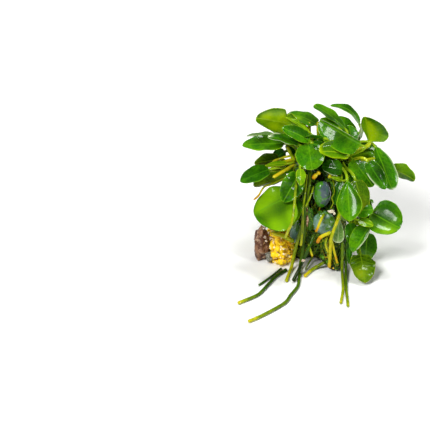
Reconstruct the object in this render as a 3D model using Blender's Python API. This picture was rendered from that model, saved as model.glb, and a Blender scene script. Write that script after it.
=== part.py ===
"""A dwarf anubias that stands on its plug of matted roots, mineral wool and stones, with its roots trailing.

The origin is in the middle of the plug's flat base. X runs to the right, Y away from the front and Z up.
Sizes are written in millimetres and turned to metres by MM. Most places are written as they are seen from
the front, because the leaves overlap in that view as they do on the plant.
"""

import math

import bmesh
import bpy
from mathutils import Vector, noise

MM = 0.001
GAP = 0.3                      # clear space between pieces that touch
VIEW_TILT = math.radians(30)   # the plant is laid out as seen from this far above the floor

LEAF_THICKNESS = 0.75          # along the midrib, near the stalk
TIP_THINNING = 0.4             # share of that thickness that is gone at the tip
EDGE_THINNING = 0.6            # and at the edges
LEAF_ROUGHNESS = 0.35
STALK_RADIUS = 0.75
STALK_STEPS = 4
BLADE_STATIONS = (0.0, 0.12, 0.3, 0.5, 0.7, 0.88, 1.0)
BLADE_MIDWAY = 0.55            # where a ring has its points between the midrib and the edge
WIDEST_AT = 0.44               # share of a blade's length where it is widest
FULLNESS = 0.55                # under 1 makes a blade's outline blunter than a sine curve
TIP_HALF_WIDTH = 0.3

ROOT_RADIUS = 0.85
ROOT_PAIR_RADIUS = 0.75
ROOT_POINTS_PER_SPAN = 2
ROOT_ROUGHNESS = 0.5
ON_FLOOR = 0.9                 # height of a root's middle where it lies on the floor
FLOOR_CLEARANCE = 0.05

RHIZOME_RADIUS = 2.3
RHIZOME_RING_SPACING = 1.8
RHIZOME_WAIST = 0.93           # between two rings, as a share of the radius
RHIZOME_END = 0.75
RHIZOME_ROUGHNESS = 0.6

RING_POINTS = 8                # round a stalk, a blade and a rhizome
STONE_ROUGHNESS = 0.8
NOISE_SCALE = 1.6


def in_view(across, up, near):
    """A place seen from the front, tilted down by VIEW_TILT: across, up in the picture, towards the eye."""
    sin, cos = math.sin(VIEW_TILT), math.cos(VIEW_TILT)
    return Vector((across, up * sin - near * cos, up * cos + near * sin))


def on_floor(across, up, height=ON_FLOOR):
    """The place at this height that is seen at (across, up)."""
    near = (height - up * math.cos(VIEW_TILT)) / math.sin(VIEW_TILT)
    return in_view(across, up, near)


def direction_in_view(right, up, near):
    return in_view(right, up, near).normalized()


# Where the shoots of the rhizome start and end, and how thick they are there
LEFT_CROWN = in_view(-3.5, 46.0, 24.0)
RIGHT_CROWN = in_view(25.0, 45.5, 20.0)
LOW_CROWN = in_view(29.0, 17.5, 17.0)
FORK = Vector((9.5, 7.0, 47.0))
SHOOTS = {
    "main": (Vector((6.0, 16.0, 44.0)), FORK),
    "left": (FORK + Vector((-3.6, -3.6, 1.4)), LEFT_CROWN),
    "right": (FORK + Vector((4.6, -2.4, 0.8)), RIGHT_CROWN),
    "low": (Vector((24.3, -1.0, 18.2)), LOW_CROWN),
}

GREENS = {
    "young": (0.36, 0.60, 0.02),
    "mid": (0.10, 0.38, 0.01),
    "dark": (0.03, 0.17, 0.01),
    "olive": (0.16, 0.26, 0.01),
    "pale": (0.30, 0.45, 0.20),
}

collection = None


def clear_scene():
    for obj in list(bpy.data.objects):
        bpy.data.objects.remove(obj, do_unlink=True)


def principled(name, colour, roughness):
    material = bpy.data.materials.new(name)
    material.use_nodes = True
    shader = material.node_tree.nodes["Principled BSDF"]
    shader.inputs["Base Color"].default_value = (*colour, 1.0)
    shader.inputs["Roughness"].default_value = roughness
    shader.inputs["Metallic"].default_value = 0.0
    return material


def add_object(name, data, colour, roughness):
    obj = bpy.data.objects.new(name, data)
    obj.data.materials.append(principled(name, colour, roughness))
    collection.objects.link(obj)
    return obj


def loft(name, rings):
    """A closed mesh through rings of equal count, with a flat cap at each end."""
    mesh = bpy.data.meshes.new(name)
    bm = bmesh.new()
    rows = [[bm.verts.new(point * MM) for point in ring] for ring in rings]
    count = len(rings[0])
    for low, high in zip(rows, rows[1:]):
        for k in range(count):
            following = (k + 1) % count
            bm.faces.new((low[k], low[following], high[following], high[k]))
    bm.faces.new(rows[0])
    bm.faces.new(rows[-1])
    bmesh.ops.recalc_face_normals(bm, faces=bm.faces)
    bmesh.ops.triangulate(bm, faces=bm.faces)
    if bm.calc_volume(signed=True) < 0:
        bmesh.ops.reverse_faces(bm, faces=bm.faces)
    bm.to_mesh(mesh)
    bm.free()
    mesh.shade_smooth()
    return mesh


def bezier(a, b, c, d, t):
    s = 1 - t
    return a * s**3 + b * (3 * s * s * t) + c * (3 * s * t * t) + d * t**3


def bezier_direction(a, b, c, d, t):
    s = 1 - t
    return ((b - a) * (s * s) + (c - b) * (2 * s * t) + (d - c) * (t * t)).normalized()


def half_width_at(t, half_width, widest_at, fullness):
    """Half of a blade's width at t of its length, from 0 at the stalk to 1 at the tip."""
    shift = math.log(0.5) / math.log(widest_at)
    return half_width * max(math.sin(math.pi * t**shift), 0.0) ** fullness


def blade_ring(centre, side, face, half, cup, thickness):
    """RING_POINTS round a blade: a lens whose edges rise above the midrib by cup times half its width."""
    m = BLADE_MIDWAY
    ring = []
    for q, layer in ((-1, 0), (-m, 1), (0, 1), (m, 1), (1, 0), (m, -1), (0, -1), (-m, -1)):
        lift = cup * half * q * q + layer * thickness / 2 * (1 - EDGE_THINNING * abs(q))
        ring.append(centre + side * (half * q) + face * lift)
    return ring


def stalk_ring(centre, along, side, radius):
    side = (side - along * side.dot(along)).normalized()
    up = side.cross(along)
    ring = []
    for k in range(RING_POINTS):
        angle = math.pi - k * 2 * math.pi / RING_POINTS
        ring.append(centre + side * (radius * math.cos(angle)) + up * (radius * math.sin(angle)))
    return ring


def stalk_base(shoot, share, towards):
    """Where a stalk starts: beside the shoot's axis at this share of its length, and the way out from it."""
    start, end = SHOOTS[shoot]
    axis = (end - start).normalized()
    centre = start.lerp(end, share)
    out = towards - centre
    out = out - axis * out.dot(axis)
    out.normalize()
    return centre + out * (RHIZOME_RADIUS + GAP + STALK_RADIUS), out


def leaf(name, grows_from, neck, tip, faces, half_width, arch=0.06, cup=0.15, bow=0.35, tone="mid",
         widest_at=WIDEST_AT, fullness=FULLNESS):
    """One leaf: a round stalk from the rhizome that widens into a thin blade.

    neck and tip are places in view, faces is the way the upper side looks, arch lifts the middle of the
    blade by that share of its length, cup lifts its edges, and bow is how far the stalk curves.
    """
    neck = in_view(*neck)
    tip = in_view(*tip)
    axis = (tip - neck).normalized()
    length = (tip - neck).length
    face = direction_in_view(*faces)
    face = (face - axis * face.dot(axis)).normalized()
    side = axis.cross(face)
    base, out = stalk_base(*grows_from, neck)
    reach = (neck - base).length * bow
    path = (base, base + out * reach, neck - (axis + face * arch * 2).normalized() * reach, neck)
    rings = []
    for step in range(STALK_STEPS):
        t = step / STALK_STEPS
        along = bezier_direction(*path, t)
        rings.append(stalk_ring(bezier(*path, t), along, side, STALK_RADIUS))
    for t in BLADE_STATIONS:
        centre = neck + axis * (length * t) + face * (arch * length * 4 * t * (1 - t))
        narrowest = TIP_HALF_WIDTH if t > 0.5 else STALK_RADIUS
        half = max(half_width_at(t, half_width, widest_at, fullness), narrowest)
        slope = arch * 4 * (1 - 2 * t)
        thickness = LEAF_THICKNESS * (1 - TIP_THINNING * t)
        along = (axis + face * slope).normalized()
        normal = side.cross(along)
        if t == 0:
            rings.append(stalk_ring(centre, along, side, STALK_RADIUS))
        else:
            rings.append(blade_ring(centre, side, normal, half, cup, thickness))
    return add_object(name, loft(name, rings), GREENS[tone], LEAF_ROUGHNESS)


def smooth_route(points, steps):
    """More points along a smooth curve through the given ones."""
    route = []
    for i in range(len(points) - 1):
        before = points[max(i - 1, 0)]
        a, b = points[i], points[i + 1]
        after = points[min(i + 2, len(points) - 1)]
        for step in range(steps):
            t = step / steps
            route.append(
                0.5 * (2 * a + (b - before) * t + (2 * before - 5 * a + 4 * b - after) * t**2
                       + (3 * a - before - 3 * b + after) * t**3)
            )
    route.append(points[-1])
    return route


def root(name, points, colour, radius=ROOT_RADIUS):
    """A root as a round tube through these points, kept above the floor."""
    route = smooth_route([Vector(point) for point in points], ROOT_POINTS_PER_SPAN)
    curve = bpy.data.curves.new(name, "CURVE")
    curve.dimensions = "3D"
    curve.bevel_depth = radius * MM
    curve.bevel_resolution = 1
    curve.use_fill_caps = True
    spline = curve.splines.new("POLY")
    spline.points.add(len(route) - 1)
    for point, place in zip(spline.points, route):
        height = max(place.z, radius + FLOOR_CLEARANCE)
        point.co = (place.x * MM, place.y * MM, height * MM, 1.0)
    return add_object(name, curve, colour, ROOT_ROUGHNESS)


def rhizome(name, shoot, bulge=1.0):
    """A knobbly round stem along one shoot, ringed where old leaves stood."""
    start, end = SHOOTS[shoot]
    along = (end - start).normalized()
    side = along.orthogonal().normalized()
    length = (end - start).length
    count = max(int(length / RHIZOME_RING_SPACING), 3)
    rings = []
    for i in range(count + 1):
        radius = RHIZOME_RADIUS * bulge * (RHIZOME_WAIST if i % 2 else 1.0)
        if i == 0 or i == count:
            radius *= RHIZOME_END
        rings.append(stalk_ring(start.lerp(end, i / count), along, side, radius))
    return add_object(name, loft(name, rings), (0.08, 0.10, 0.01), RHIZOME_ROUGHNESS)


def lump(name, centre, radii, roughness, seed, colour, segments=12, rows=8, squareness=2.0, bulges=()):
    """A stone or a lump of the plug: a sphere stretched to its radii, dented, and cut flat at the floor.

    squareness over 2 makes it boxier, and each bulge is a place, its reach and the push at its middle.
    """
    mesh = bpy.data.meshes.new(name)
    bm = bmesh.new()
    bmesh.ops.create_uvsphere(bm, u_segments=segments, v_segments=rows, radius=1.0)
    for vert in bm.verts:
        boxy = sum(abs(c) ** squareness for c in vert.co) ** (-1 / squareness)
        push = boxy * (1 + roughness * noise.noise(vert.co * NOISE_SCALE + Vector((seed, 0.0, 0.0))))
        place = Vector(vert.co[k] * radii[k] * push + centre[k] for k in range(3))
        for middle, reach, shift in bulges:
            near = max(1 - (place - Vector(middle)).length / reach, 0.0)
            place += Vector(shift) * near * near * (3 - 2 * near)
        vert.co = place * MM
    if min(vert.co.z for vert in bm.verts) < 0:
        geometry = bm.verts[:] + bm.edges[:] + bm.faces[:]
        cut = bmesh.ops.bisect_plane(
            bm, geom=geometry, dist=1e-7, plane_co=(0, 0, 0), plane_no=(0, 0, -1), clear_outer=True
        )
        edges = [item for item in cut["geom_cut"] if isinstance(item, bmesh.types.BMEdge)]
        bmesh.ops.edgeloop_fill(bm, edges=edges)
    bmesh.ops.triangulate(bm, faces=bm.faces)
    bmesh.ops.recalc_face_normals(bm, faces=bm.faces)
    bm.to_mesh(mesh)
    bm.free()
    return add_object(name, mesh, colour, STONE_ROUGHNESS)


def build_plug():
    lump("matted_roots", (8.6, 1.2, 14.0), (13.0, 12.0, 29.0), 0.14, 8.0, (0.02, 0.03, 0.01),
         segments=18, rows=12, squareness=3.0,
         bulges=(((19.0, -10.0, 4.0), 15.0, (1.0, -13.5, 0.0)), ((9.0, -13.0, -2.0), 10.0, (0.0, 7.0, 0.0))))
    lump("mineral_wool", (-10.2, -5.0, 6.5), (5.8, 10.0, 13.0), 0.26, 3.0, (0.62, 0.48, 0.05),
         segments=16, rows=10, squareness=2.6)
    lump("stone_brown", (-19.2, -8.0, 8.4), (3.6, 4.4, 9.4), 0.22, 1.0, (0.12, 0.06, 0.04))
    lump("pebble_upper", (10.8, -12.8, 39.6), (4.4, 3.0, 7.2), 0.1, 5.0, (0.16, 0.22, 0.26))
    lump("pebble_lower", (11.8, -16.2, 24.9), (5.6, 3.0, 6.6), 0.1, 7.0, (0.24, 0.36, 0.30))


def build_rhizomes():
    rhizome("rhizome_main", "main", 1.1)
    rhizome("rhizome_left", "left")
    rhizome("rhizome_right", "right")
    rhizome("rhizome_low", "low")


def build_left_leaves():
    leaf("leaf_left_tall", ("left", 0.5), (3.2, 58.8, 31.5), (-22.3, 65.6, 34.0), (-0.05, 0.6, -0.8), 7.7,
         arch=0.1, tone="young", fullness=0.5)
    leaf("leaf_left_folded", ("left", 0.75), (1.7, 53.0, 37.2), (-8.2, 62.3, 38.5), (0.2, 0.6, 0.75), 5.2)
    leaf("leaf_left_behind", ("left", 0.2), (8.6, 62.2, 26.0), (-6.2, 68.3, 20.0), (0.1, 0.93, 0.3), 4.6,
         tone="dark")
    leaf("leaf_left_rim", ("left", 1.0), (-0.5, 52.0, 36.0), (-16.5, 56.0, 37.0), (0.1, 0.9, 0.4), 6.0,
         tone="dark")
    leaf("leaf_left_flat", ("left", 0.9), (-7.5, 53.0, 30.0), (-29.0, 52.0, 31.0), (0.0, 0.8, 0.6), 7.0,
         arch=0.01)
    leaf("leaf_left_grey", ("left", 0.35), (-9.0, 55.8, 15.5), (-27.0, 56.8, 14.0), (0.0, 0.97, 0.2), 6.0,
         tone="pale")
    leaf("leaf_left_olive", ("left", 0.95), (-10.0, 45.3, 25.0), (-23.0, 43.2, 26.0), (0.1, 0.75, -0.65), 4.7,
         arch=0.04, tone="olive")
    leaf("leaf_left_shaded", ("left", 0.95), (-7.0, 49.4, 18.5), (-14.0, 43.6, 16.0), (-0.5, 0.4, 0.75), 4.0,
         tone="dark")
    leaf("leaf_left_lower", ("left", 1.0), (-15.0, 40.2, 31.0), (-30.0, 34.0, 32.0), (0.0, 0.75, 0.65), 5.6,
         arch=0.02, tone="dark")
    leaf("leaf_left_lowest", ("left", 0.85), (-6.0, 36.6, 26.0), (-23.5, 32.3, 27.0), (0.0, 0.8, -0.45), 5.8,
         arch=0.03, tone="olive")
    leaf("leaf_front_round", ("left", 0.35), (4.6, 52.8, 39.5), (6.2, 39.8, 41.5), (0.0, 0.15, 0.99), 7.5,
         fullness=0.5)
    leaf("leaf_front_thin", ("left", 0.1), (11.6, 55.4, 36.7), (2.6, 55.4, 37.2), (0.0, 0.98, -0.15), 3.6,
         tone="dark")
    leaf("leaf_front_cupped", ("right", 0.6), (22.5, 44.8, 30.5), (9.0, 45.6, 31.0), (0.0, 0.8, 0.6), 5.6,
         cup=0.5, tone="young", fullness=0.45)
    leaf("leaf_broad", ("left", 0.6), (-2.5, 27.2, 33.0), (-23.2, 17.6, 30.0), (-0.2, 0.45, 0.87), 9.6,
         tone="young")
    leaf("leaf_broad_under", ("left", 0.4), (-0.8, 27.0, 29.5), (-13.0, 9.8, 25.5), (-0.2, 0.3, 0.93), 7.8,
         tone="young")
    leaf("leaf_bumpy", ("left", 0.75), (-1.6, 37.0, 37.4), (-9.3, 26.8, 38.4), (-0.1, 0.3, 0.95), 4.6,
         tone="dark")


def build_right_leaves():
    leaf("leaf_front_large", ("right", 0.85), (30.7, 51.2, 34.0), (9.8, 60.0, 37.0), (0.1, 0.62, 0.78), 6.8,
         fullness=0.45, widest_at=0.55)
    leaf("leaf_top_small", ("right", 0.1), (18.3, 61.5, 31.3), (9.6, 65.2, 30.8), (0.1, 0.9, 0.35), 3.5,
         tone="dark")
    leaf("leaf_top_long", ("right", 0.25), (22.5, 60.0, 27.0), (6.5, 71.8, 28.0), (0.5, 0.75, 0.45), 5.2,
         tone="olive")
    leaf("leaf_top_middle", ("right", 0.6), (27.0, 54.5, 18.0), (18.7, 66.6, 20.0), (0.45, 0.55, 0.7), 4.8,
         tone="dark")
    leaf("leaf_top_arched", ("right", 0.42), (30.0, 63.5, 14.5), (15.3, 72.0, 16.0), (0.5, 0.85, 0.16), 5.5,
         arch=0.17)
    leaf("leaf_right_young", ("right", 1.0), (34.3, 54.2, 25.5), (42.2, 61.6, 34.0), (0.5, 0.5, -0.6), 8.3,
         tone="young", widest_at=0.58)
    leaf("leaf_right_strip", ("right", 0.8), (28.6, 54.5, 21.5), (30.6, 63.8, 22.5), (0.95, 0.1, 0.25), 4.0,
         tone="pale")
    leaf("leaf_right_long", ("right", 0.6), (37.0, 52.0, 23.0), (44.6, 30.0, 27.0), (0.7, 0.35, 0.6), 5.6,
         widest_at=0.66)
    leaf("leaf_right_front", ("right", 1.0), (33.0, 44.5, 30.5), (42.0, 30.4, 33.0), (-0.2, 0.5, 0.85), 5.0,
         tone="dark")
    leaf("leaf_right_inner", ("right", 0.87), (26.0, 43.0, 23.6), (29.0, 32.0, 22.1), (0.1, 0.3, 0.95), 3.8)
    leaf("leaf_right_far", ("right", 0.9), (45.3, 41.3, 17.0), (57.6, 34.8, 18.0), (0.2, 0.8, -0.6), 5.8,
         tone="olive", fullness=0.5)
    leaf("leaf_drop", ("right", 0.5), (23.0, 35.2, 35.5), (24.2, 14.2, 37.5), (0.05, 0.1, 0.99), 6.7,
         widest_at=0.55, fullness=0.5)
    leaf("leaf_behind_drop", ("right", 0.65), (28.5, 35.5, 32.0), (33.5, 18.0, 31.0), (0.2, 0.2, 0.95), 5.2)
    leaf("leaf_under_round", ("right", 0.2), (18.5, 41.0, 29.5), (9.5, 41.5, 30.0), (0.0, 0.9, 0.45), 3.6,
         tone="dark")


def build_low_leaves():
    leaf("leaf_low_cupped", ("low", 1.0), (35.2, 18.8, 26.0), (49.6, 10.6, 30.0), (0.15, 0.3, 0.94), 9.3,
         cup=0.3, fullness=0.5)
    leaf("leaf_low_white_edge", ("low", 0.75), (34.5, 12.2, 27.5), (26.0, -1.0, 27.0), (0.3, 0.3, 0.9), 4.4)
    leaf("leaf_low_dark", ("low", 0.7), (34.0, 8.5, 16.0), (32.5, -6.0, 13.0), (0.2, 0.2, 0.95), 4.8,
         tone="dark")
    leaf("leaf_low_drooping", ("low", 0.5), (30.0, -2.0, 22.0), (32.0, -16.3, 31.0), (0.1, 0.6, 0.8), 6.4)
    leaf("leaf_low_translucent", ("low", 0.3), (19.4, 15.5, 28.8), (18.6, 3.6, 27.4), (0.0, 0.3, 0.95), 3.0,
         tone="pale", widest_at=0.7, fullness=0.45)


def build_back_leaves():
    leaf("leaf_back_left", ("left", 0.1), (-3.0, 58.0, 8.0), (-15.0, 63.0, -8.0), (-0.2, 0.9, 0.4), 6.5)
    leaf("leaf_back_middle", ("main", 1.0), (9.0, 49.0, 6.0), (5.0, 51.0, -14.0), (0.0, 0.9, 0.4), 7.5)
    leaf("leaf_back_right", ("right", 0.5), (27.0, 51.0, 6.0), (33.0, 50.0, -14.0), (0.2, 0.9, 0.4), 7.5)
    leaf("leaf_back_hanging", ("main", 0.3), (4.0, 44.6, 2.7), (2.0, 34.3, -11.4), (0.0, 0.94, -0.32), 7.0)
    leaf("leaf_back_top", ("right", 0.2), (17.5, 59.0, 9.0), (13.0, 62.5, -8.0), (0.0, 0.9, 0.4), 6.5)
    leaf("leaf_back_low", ("low", 0.5), (31.0, 22.0, 0.0), (33.0, 26.0, -16.0), (0.2, 0.9, 0.4), 6.0)


def build_roots():
    root("root_long", [in_view(5.2, 41.3, 25.5), in_view(4.8, 38.0, 30.5), in_view(4.2, 32.0, 33.5),
                       in_view(3.3, 25.0, 32.5), in_view(2.5, 14.0, 28.5), in_view(1.8, 5.0, 23.5),
                       on_floor(0.6, -5.0, 4.6), on_floor(-0.2, -10.0, 1.1), on_floor(-0.6, -14.5),
                       on_floor(-1.5, -18.0), on_floor(-5.0, -22.0), on_floor(-8.5, -26.0),
                       on_floor(-19.0, -31.5), on_floor(-26.5, -34.6)], colour=(0.12, 0.25, 0.01))
    root("root_dark", [in_view(7.0, 8.0, 25.5), in_view(4.4, 1.5, 26.0), on_floor(1.8, -4.5, 7.6),
                       on_floor(-0.8, -10.0, 3.8), on_floor(-3.8, -15.5, 1.0)], colour=(0.02, 0.06, 0.01))
    root("root_yellow_left", [in_view(0.3, 41.3, 27.5), in_view(1.6, 35.0, 33.4), in_view(1.6, 27.0, 34.2),
                              in_view(1.8, 17.0, 31.6), in_view(-1.6, 3.5, 23.4), on_floor(-3.7, -6.5, 3.4),
                              on_floor(-5.2, -11.0, 1.0), on_floor(-7.2, -15.6)],
         colour=(0.5, 0.42, 0.01))
    root("root_floor_middle", [on_floor(12.6, -6.0, 4.0), on_floor(7.5, -9.0), on_floor(1.9, -13.2)],
         colour=(0.5, 0.36, 0.01))
    root("root_floor_left", [on_floor(-6.5, -9.6), on_floor(-12.5, -13.5), on_floor(-19.0, -20.0),
                             on_floor(-22.5, -22.5), on_floor(-31.5, -26.0)],
         colour=(0.08, 0.16, 0.01))
    root("root_yellow_right", [in_view(20.6, 21.5, 25.5), in_view(18.0, 14.0, 32.5), in_view(15.6, 7.5, 32.0),
                               in_view(15.0, 2.5, 29.0), in_view(14.6, -9.0, 20.5)],
         colour=(0.65, 0.45, 0.01))
    root("root_pair_left", [in_view(21.0, 4.0, 27.5), in_view(21.0, -6.0, 22.5), on_floor(21.0, -12.0, 1.4),
                            on_floor(21.0, -19.0, 0.8), on_floor(19.4, -26.0, 0.8)], radius=ROOT_PAIR_RADIUS,
         colour=(0.4, 0.38, 0.01))
    root("root_pair_right", [in_view(23.2, 4.0, 25.5), in_view(23.0, -6.0, 20.5), on_floor(22.8, -12.5, 1.4),
                             on_floor(22.7, -20.0, 0.8), on_floor(23.0, -27.5, 0.8)], radius=ROOT_PAIR_RADIUS,
         colour=(0.3, 0.34, 0.01))
    root("root_crown_yellow", [in_view(-2.8, 42.6, 28.0), in_view(-7.4, 39.8, 33.2), in_view(-14.0, 36.0, 35.0)],
         radius=0.9, colour=(0.7, 0.6, 0.1))


def main():
    global collection
    clear_scene()
    collection = bpy.data.collections.new("anubias")
    bpy.context.scene.collection.children.link(collection)
    build_plug()
    build_rhizomes()
    build_left_leaves()
    build_right_leaves()
    build_low_leaves()
    build_back_leaves()
    build_roots()


main()
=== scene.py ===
import math
import random

import bpy
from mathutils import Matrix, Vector, noise


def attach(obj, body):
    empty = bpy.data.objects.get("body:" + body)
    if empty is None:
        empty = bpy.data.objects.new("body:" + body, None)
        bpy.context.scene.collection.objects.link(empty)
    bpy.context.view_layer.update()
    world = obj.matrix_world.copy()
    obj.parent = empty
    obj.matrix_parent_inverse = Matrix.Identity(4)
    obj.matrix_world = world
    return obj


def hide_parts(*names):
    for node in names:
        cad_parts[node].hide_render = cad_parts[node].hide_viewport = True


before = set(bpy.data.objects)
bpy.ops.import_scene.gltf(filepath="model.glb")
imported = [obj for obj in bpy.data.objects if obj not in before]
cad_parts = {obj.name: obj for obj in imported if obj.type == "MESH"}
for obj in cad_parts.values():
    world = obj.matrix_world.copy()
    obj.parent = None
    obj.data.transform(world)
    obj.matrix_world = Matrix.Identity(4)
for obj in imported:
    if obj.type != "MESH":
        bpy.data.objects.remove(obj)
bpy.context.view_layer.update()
bpy.ops.object.select_all(action="DESELECT")
print("frame loaded,", len(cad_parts), "pieces")

mm = 0.001
viewTilt = math.radians(30)      # the plant is laid out as seen from this far above the floor


# Places are in millimetres: across to the right, up in the picture, near towards the eye
def inView(across, up, near):
    sin, cos = math.sin(viewTilt), math.cos(viewTilt)
    return Vector((across, up * sin - near * cos, up * cos + near * sin))


def onFloor(across, up, height=0.9):
    near = (height - up * math.cos(viewTilt)) / math.sin(viewTilt)
    return inView(across, up, near)


def hexColour(code):
    channels = [int(code[i:i + 2], 16) / 255 for i in (1, 3, 5)]
    return tuple(c / 12.92 if c <= 0.04045 else ((c + 0.055) / 1.055) ** 2.4 for c in channels) + (1.0,)


# Camera, floor and light

stage = {
    "lens": 300,                 # mm, long, because the plant is seen from well away
    "sensor": 36,
    "frameWidth": 215,           # mm of the scene that the picture is wide
    "near": 20,                  # where that width is measured
    "centre": (-42.5, 17.5),     # what the middle of the picture looks at
    "floorColour": "#f4f4f2",
    "floorSize": 8.0,
    "worldColour": "#ffffff",
    "worldStrength": 0.1,
    # name: place in metres, size in metres, power in watts
    "lamps": {
        "softKey": ((-0.55, -0.75, 1.05), 0.45, 17.0),
        "softFill": ((0.95, -0.6, 0.55), 0.22, 6.0),
        "softTop": ((0.15, 0.25, 1.25), 0.35, 10.0),
    },
}


def setStage():
    away = stage["frameWidth"] * stage["lens"] / stage["sensor"]
    eye = inView(*stage["centre"], stage["near"] + away) * mm
    bpy.ops.object.camera_add(location=eye, rotation=(math.pi / 2 - viewTilt, 0, 0))
    camera = bpy.context.object
    camera.data.lens = stage["lens"]
    camera.data.sensor_width = stage["sensor"]
    camera.data.clip_end = 50
    bpy.context.scene.camera = camera

    bpy.ops.mesh.primitive_plane_add(size=stage["floorSize"], location=(0, 0, -0.0002))
    floor = bpy.context.object
    floor.name = "floor"
    paint = bpy.data.materials.new("pale studio paper")
    paint.use_nodes = True
    shader = paint.node_tree.nodes["Principled BSDF"]
    shader.inputs["Base Color"].default_value = hexColour(stage["floorColour"])
    shader.inputs["Roughness"].default_value = 0.95
    shader.inputs["Specular IOR Level"].default_value = 0.1
    floor.data.materials.append(paint)

    world = bpy.data.worlds.new("studio")
    bpy.context.scene.world = world
    world.use_nodes = True
    background = world.node_tree.nodes["Background"]
    background.inputs["Color"].default_value = hexColour(stage["worldColour"])
    background.inputs["Strength"].default_value = stage["worldStrength"]
    for name, (place, size, power) in stage["lamps"].items():
        bpy.ops.object.light_add(type="AREA", location=place)
        lamp = bpy.context.object
        lamp.name = name
        lamp.data.size = size
        lamp.data.energy = power
        lamp.rotation_euler = (Vector((0, 0, 0.04)) - Vector(place)).to_track_quat("-Z", "Y").to_euler()
    bpy.context.scene.view_settings.view_transform = "Standard"


setStage()
print("camera, floor and lamps set")


# Materials

def addNode(tree, kind, inputs={}, **settings):
    node = tree.nodes.new(kind)
    for name, value in settings.items():
        setattr(node, name, value)
    for socket, value in inputs.items():
        if isinstance(value, bpy.types.NodeSocket):
            tree.links.new(value, node.inputs[socket])
        else:
            node.inputs[socket].default_value = value
    return node


def newMaterial(name):
    material = bpy.data.materials.new(name)
    material.use_nodes = True
    return material, material.node_tree, material.node_tree.nodes["Principled BSDF"]


# Living leaf blade: a waxy green skin, wet, so it has a soft sheen with small sharp highlights.
# The underside is paler and duller, veins and margin are lighter than the blade.
leafFinishes = {
    # The glow colour of each finish is painted light, where light shines through or falls on the blade; the dark
    # colour serves the mottle and also painted shade.
    "mid": dict(main="#317402", light="#4e8a02", dark="#103601", glow="#78a804", rim="#7ca418", vein="#5a920a"),
    "dark": dict(main="#1f5402", light="#357003", dark="#082401", glow="#589006", rim="#628c1c", vein="#3c780a"),
    "young": dict(main="#4f8402", light="#6c9a02", dark="#225602", glow="#94b202", rim="#a0b818", vein="#88a812"),
    "olive": dict(main="#385e02", light="#527604", dark="#142e02", glow="#788e08", rim="#949f18", vein="#64860a"),
    # The pale finish is for leaves seen edge-on; its greyish whites are painted sheen, light reflected off the upper
    # side.
    "pale": dict(main="#567c34", light="#809c54", dark="#2e5216", glow="#a8bc7c", rim="#c0cc9c", vein="#94ac6c"),
}
leafSurface = {
    "ribHalfWidth": 0.28,        # mm, of the midrib's light line
    "veinShare": 0.07,           # of the space between two side veins
    "rimWidth": 0.35,
    "paintedSheenColour": "#b9c69c",    # painted sheen: a pale grey band along some margins, for light reflected off the edge
    "mottle": 1.2,
    "streak": 0.5,
    "pores": 0.45,
    "poreDepth": 0.05,
    "stalkGreen": "#5f9410",
    "stalkYellow": "#b8c41c",
}


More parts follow.
